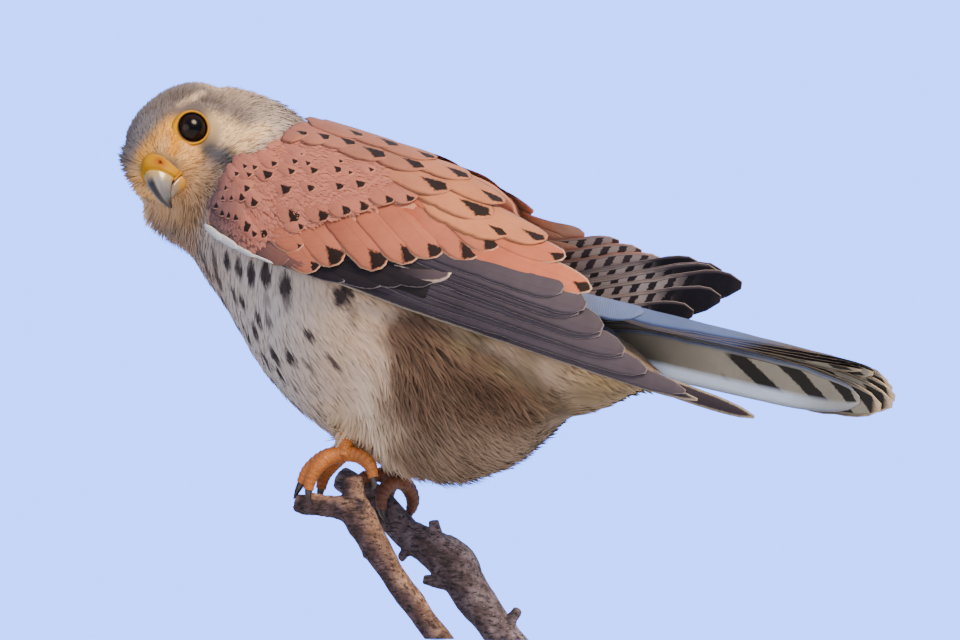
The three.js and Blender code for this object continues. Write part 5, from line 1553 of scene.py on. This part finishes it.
# A darker orange rim round the nostril, and near black inside it, painted shade in the hole, which is sunk only 1.5 mm.
wax = blend(wax, "8E4200", (1 - step(1.0, 3.0, near)) * 0.8)
wax = blend(wax, "3A1C08", 1 - step(0.5, 1.1, near))
fitted(tinted(piece("cere_skin", *parts), wax), lid, "bare_skin", "cere")

share = np.linspace(LOWER_BILL[0][0], LOWER_BILL[-1][0], 26)
top, bottom, half = read(LOWER_BILL, share).T[:, :, None]
turn = half_circle(21)
drop = (top - bottom) * np.clip(np.cos(turn), 0, 1) ** 0.8
floor_of = half * np.linspace(0.8, -0.8, 5)
local = np.stack([share[:, None] + 0 * drop, top - drop, half * np.sin(turn)], -1)
lid_top = np.stack([share[:, None] + 0 * floor_of, top + 0 * floor_of, floor_of], -1)
parts = shell(on_head(np.concatenate([local, lid_top], 1)))
tone = blend("B98A30", "7C7266", step(19, 25, (parts[0] - HEAD) @ F))
fitted(tinted(piece("bill_lower", *parts), tone), horn, "bill_horn", "beak_lower")

# Gape: a soft fold along the cutting edge from under the eye to the lower bill. Rows: ahead, up, aside, radius.
GAPE = [
    [12.5, -8.2, 8.2, 0.7], [15, -7.9, 7.7, 0.95], [18, -7.6, 6.9, 0.85], [21, -7.5, 5.9, 0.6], [23.5, -8, 4.9, 0.35],
]
for name, side in EYES.items():
    rows = [[*on_head(np.array([f, u, side * l])), r] for f, u, l, r in GAPE]
    fold = shell(tube(rows, 26, 16))
    tone = np.tile(linear("A87022"), (len(fold[0]), 1))
    fitted(tinted(piece(f"gape_{name}", *fold), tone), lid, "bare_skin")

# Legs. Bare shanks and toes in orange-yellow skin, with broad scutes in front and fine scales at the sides,
# and black curved claws that grip the bark.
TARSUS_RADIUS = 3.2
TOES = {
    "left": {
        "middle": ([[-10, -18.5, 155.5], [-16.5, -19, 151], [-19.5, -19.5, 145.8]], [-22.5, -19.5, 140]),
        "inner": ([[-8, -13, 154.5], [-13.5, -11.5, 149.5], [-15, -11.8, 144]], [-14.5, -13.2, 138.5]),
        "outer": ([[-8, -23, 154], [-12.5, -25, 148.5], [-14, -25, 143]], [-13, -23.8, 137.5]),
        "back": ([[3, -18, 155.5], [7.5, -18, 152], [9, -18, 147.3]], [7.8, -18, 141.6]),
    },
    "right": {
        "middle": ([[1, 8, 150], [-4.5, 5, 149], [-9, 3.2, 145]], [-9.5, 3, 139.5]),
        "inner": ([[6, 4.5, 146.5], [4, 1.5, 142], [4, 1.2, 136.5]], [6.8, 2.6, 132]),
        "outer": ([[3.5, 15, 148], [-0.5, 18.5, 145], [-1, 19, 139.5]], [1.5, 18.2, 135]),
        "back": ([[9, 14.5, 145.5], [9.5, 18, 141], [8, 19, 136.5]], [5.5, 18, 132.5]),
    },
}
# The far foot's tones are darker and browner, painted shade for the bird's own shade over it.
FOOT_TONES = {"left": ("BF7228", "8C4F1C"), "right": ("7A4B34", "563528")}
TOE_RADII = [2.9, 2.75, 2.45, 1.75]
CLAW_RADII = [1.55, 1.25, 0.8, 0.22]

scaled = finish("scaly_foot_skin")
where = node(scaled, "ShaderNodeTexCoord").outputs["Object"]
tint = node(scaled, "ShaderNodeAttribute", attribute_name="tint").outputs["Color"]
# Side scales about 1 mm across, darker in the creases between them as painted shade.
scales = node(scaled, "ShaderNodeTexVoronoi", where, into={"Scale": 950}, feature="DISTANCE_TO_EDGE")
crease = node(scaled, "ShaderNodeMapRange", scales.outputs["Distance"], 0.0, 0.16, 0.55, 1.0)
joined = node(scaled, "ShaderNodeCombineXYZ", crease, crease, crease)
toned = node(scaled, "ShaderNodeMixRGB", 0.8, tint, joined, blend_type="MULTIPLY")
raised = node(scaled, "ShaderNodeBump", into={"Strength": 0.6, "Distance": 0.00025, "Height": crease})
closed(scaled, Base_Color=toned, Roughness=0.5, Subsurface_Weight=0.06, Subsurface_Scale=0.002, Normal=raised)
claw_horn = finish("black_horn")
tint = node(claw_horn, "ShaderNodeAttribute", attribute_name="tint").outputs["Color"]
closed(claw_horn, Base_Color=tint, Roughness=0.28, IOR=1.54, Coat_Weight=0.2, Coat_Roughness=0.2)


def scuted(rows, steps, around, pitch, deep):
    """A tube whose radius rises and falls as scutes that overlap: radius + deep * (1 - saw) ** 2, saw running from 0
    to 1 along each pitch of the length, mostly on the upper side. Gives its shell, and how light each point is: darker
    over the first 0.3 of each pitch, painted shade where one scute overlaps the next."""
    rings = tube(rows, steps, around)
    middle = rings.mean(1, keepdims=True)
    gone = np.cumsum(span(np.gradient(middle[:, 0], axis=0)))
    saw = (gone / pitch) % 1
    upper = 0.5 + 0.5 * unit(rings - middle)[..., 2]
    rise = deep * ((1 - saw) ** 2)[:, None] * (0.35 + 0.65 * upper)
    light = np.repeat(0.72 + 0.28 * step(0.0, 0.3, saw), around)
    return shell(rings + unit(rings - middle) * rise[..., None]), np.append(light, [1, 1])


for name, leg in LEGS.items():
    foot, ankle = np.array(leg["foot"]), np.array(leg["ankle"])
    places = foot + np.array([-0.12, 0.3, 0.7, 1.4])[:, None] * (ankle - foot)
    shank = np.column_stack([places, [4.1, TARSUS_RADIUS, TARSUS_RADIUS, 3.3]])
    made = [scuted(shank, 60, 30, 1.9, 0.28)]
    for reach, _ in TOES[name].values():
        made.append(scuted(np.column_stack([[leg["foot"], *reach], TOE_RADII]), 64, 26, 2.0, 0.32))
    shells, lights = zip(*made)
    parts = together(shells)
    nodes = [f"tarsus_{name}", f"foot_{name}"]
    # Own tones mixed in patches, times the painted shade at the scutes' steps.
    skin_tone = blend(*FOOT_TONES[name], clouds(parts[0], 3.5, 71) * 0.7) * np.concatenate(lights)[:, None]
    fitted(tinted(piece(f"foot_skin_{name}", *parts), skin_tone), scaled, "foot_skin", *nodes)
    for toe, ((_, before, end), tip) in TOES[name].items():
        before, end, tip = np.array([before, end, tip], float)
        ahead = unit(end - before)
        claw_long = np.linalg.norm(tip - end)
        bend = end + ahead * claw_long * 0.5
        t = np.linspace(0, 1, 4)[:, None]
        curve = (end - ahead * 0.8) * (1 - t) ** 2 + 2 * bend * t * (1 - t) + tip * t**2
        parts = shell(tube(np.column_stack([curve, CLAW_RADII]), 30, 20))
        horn_tone = blend("3A302C", "0E0C0D", step(0.1, 0.6, span(parts[0] - end) / claw_long))
        fitted(tinted(piece(f"talon_{name}_{toe}", *parts), horn_tone), claw_horn, "claw", f"claw_{name}_{toe}")
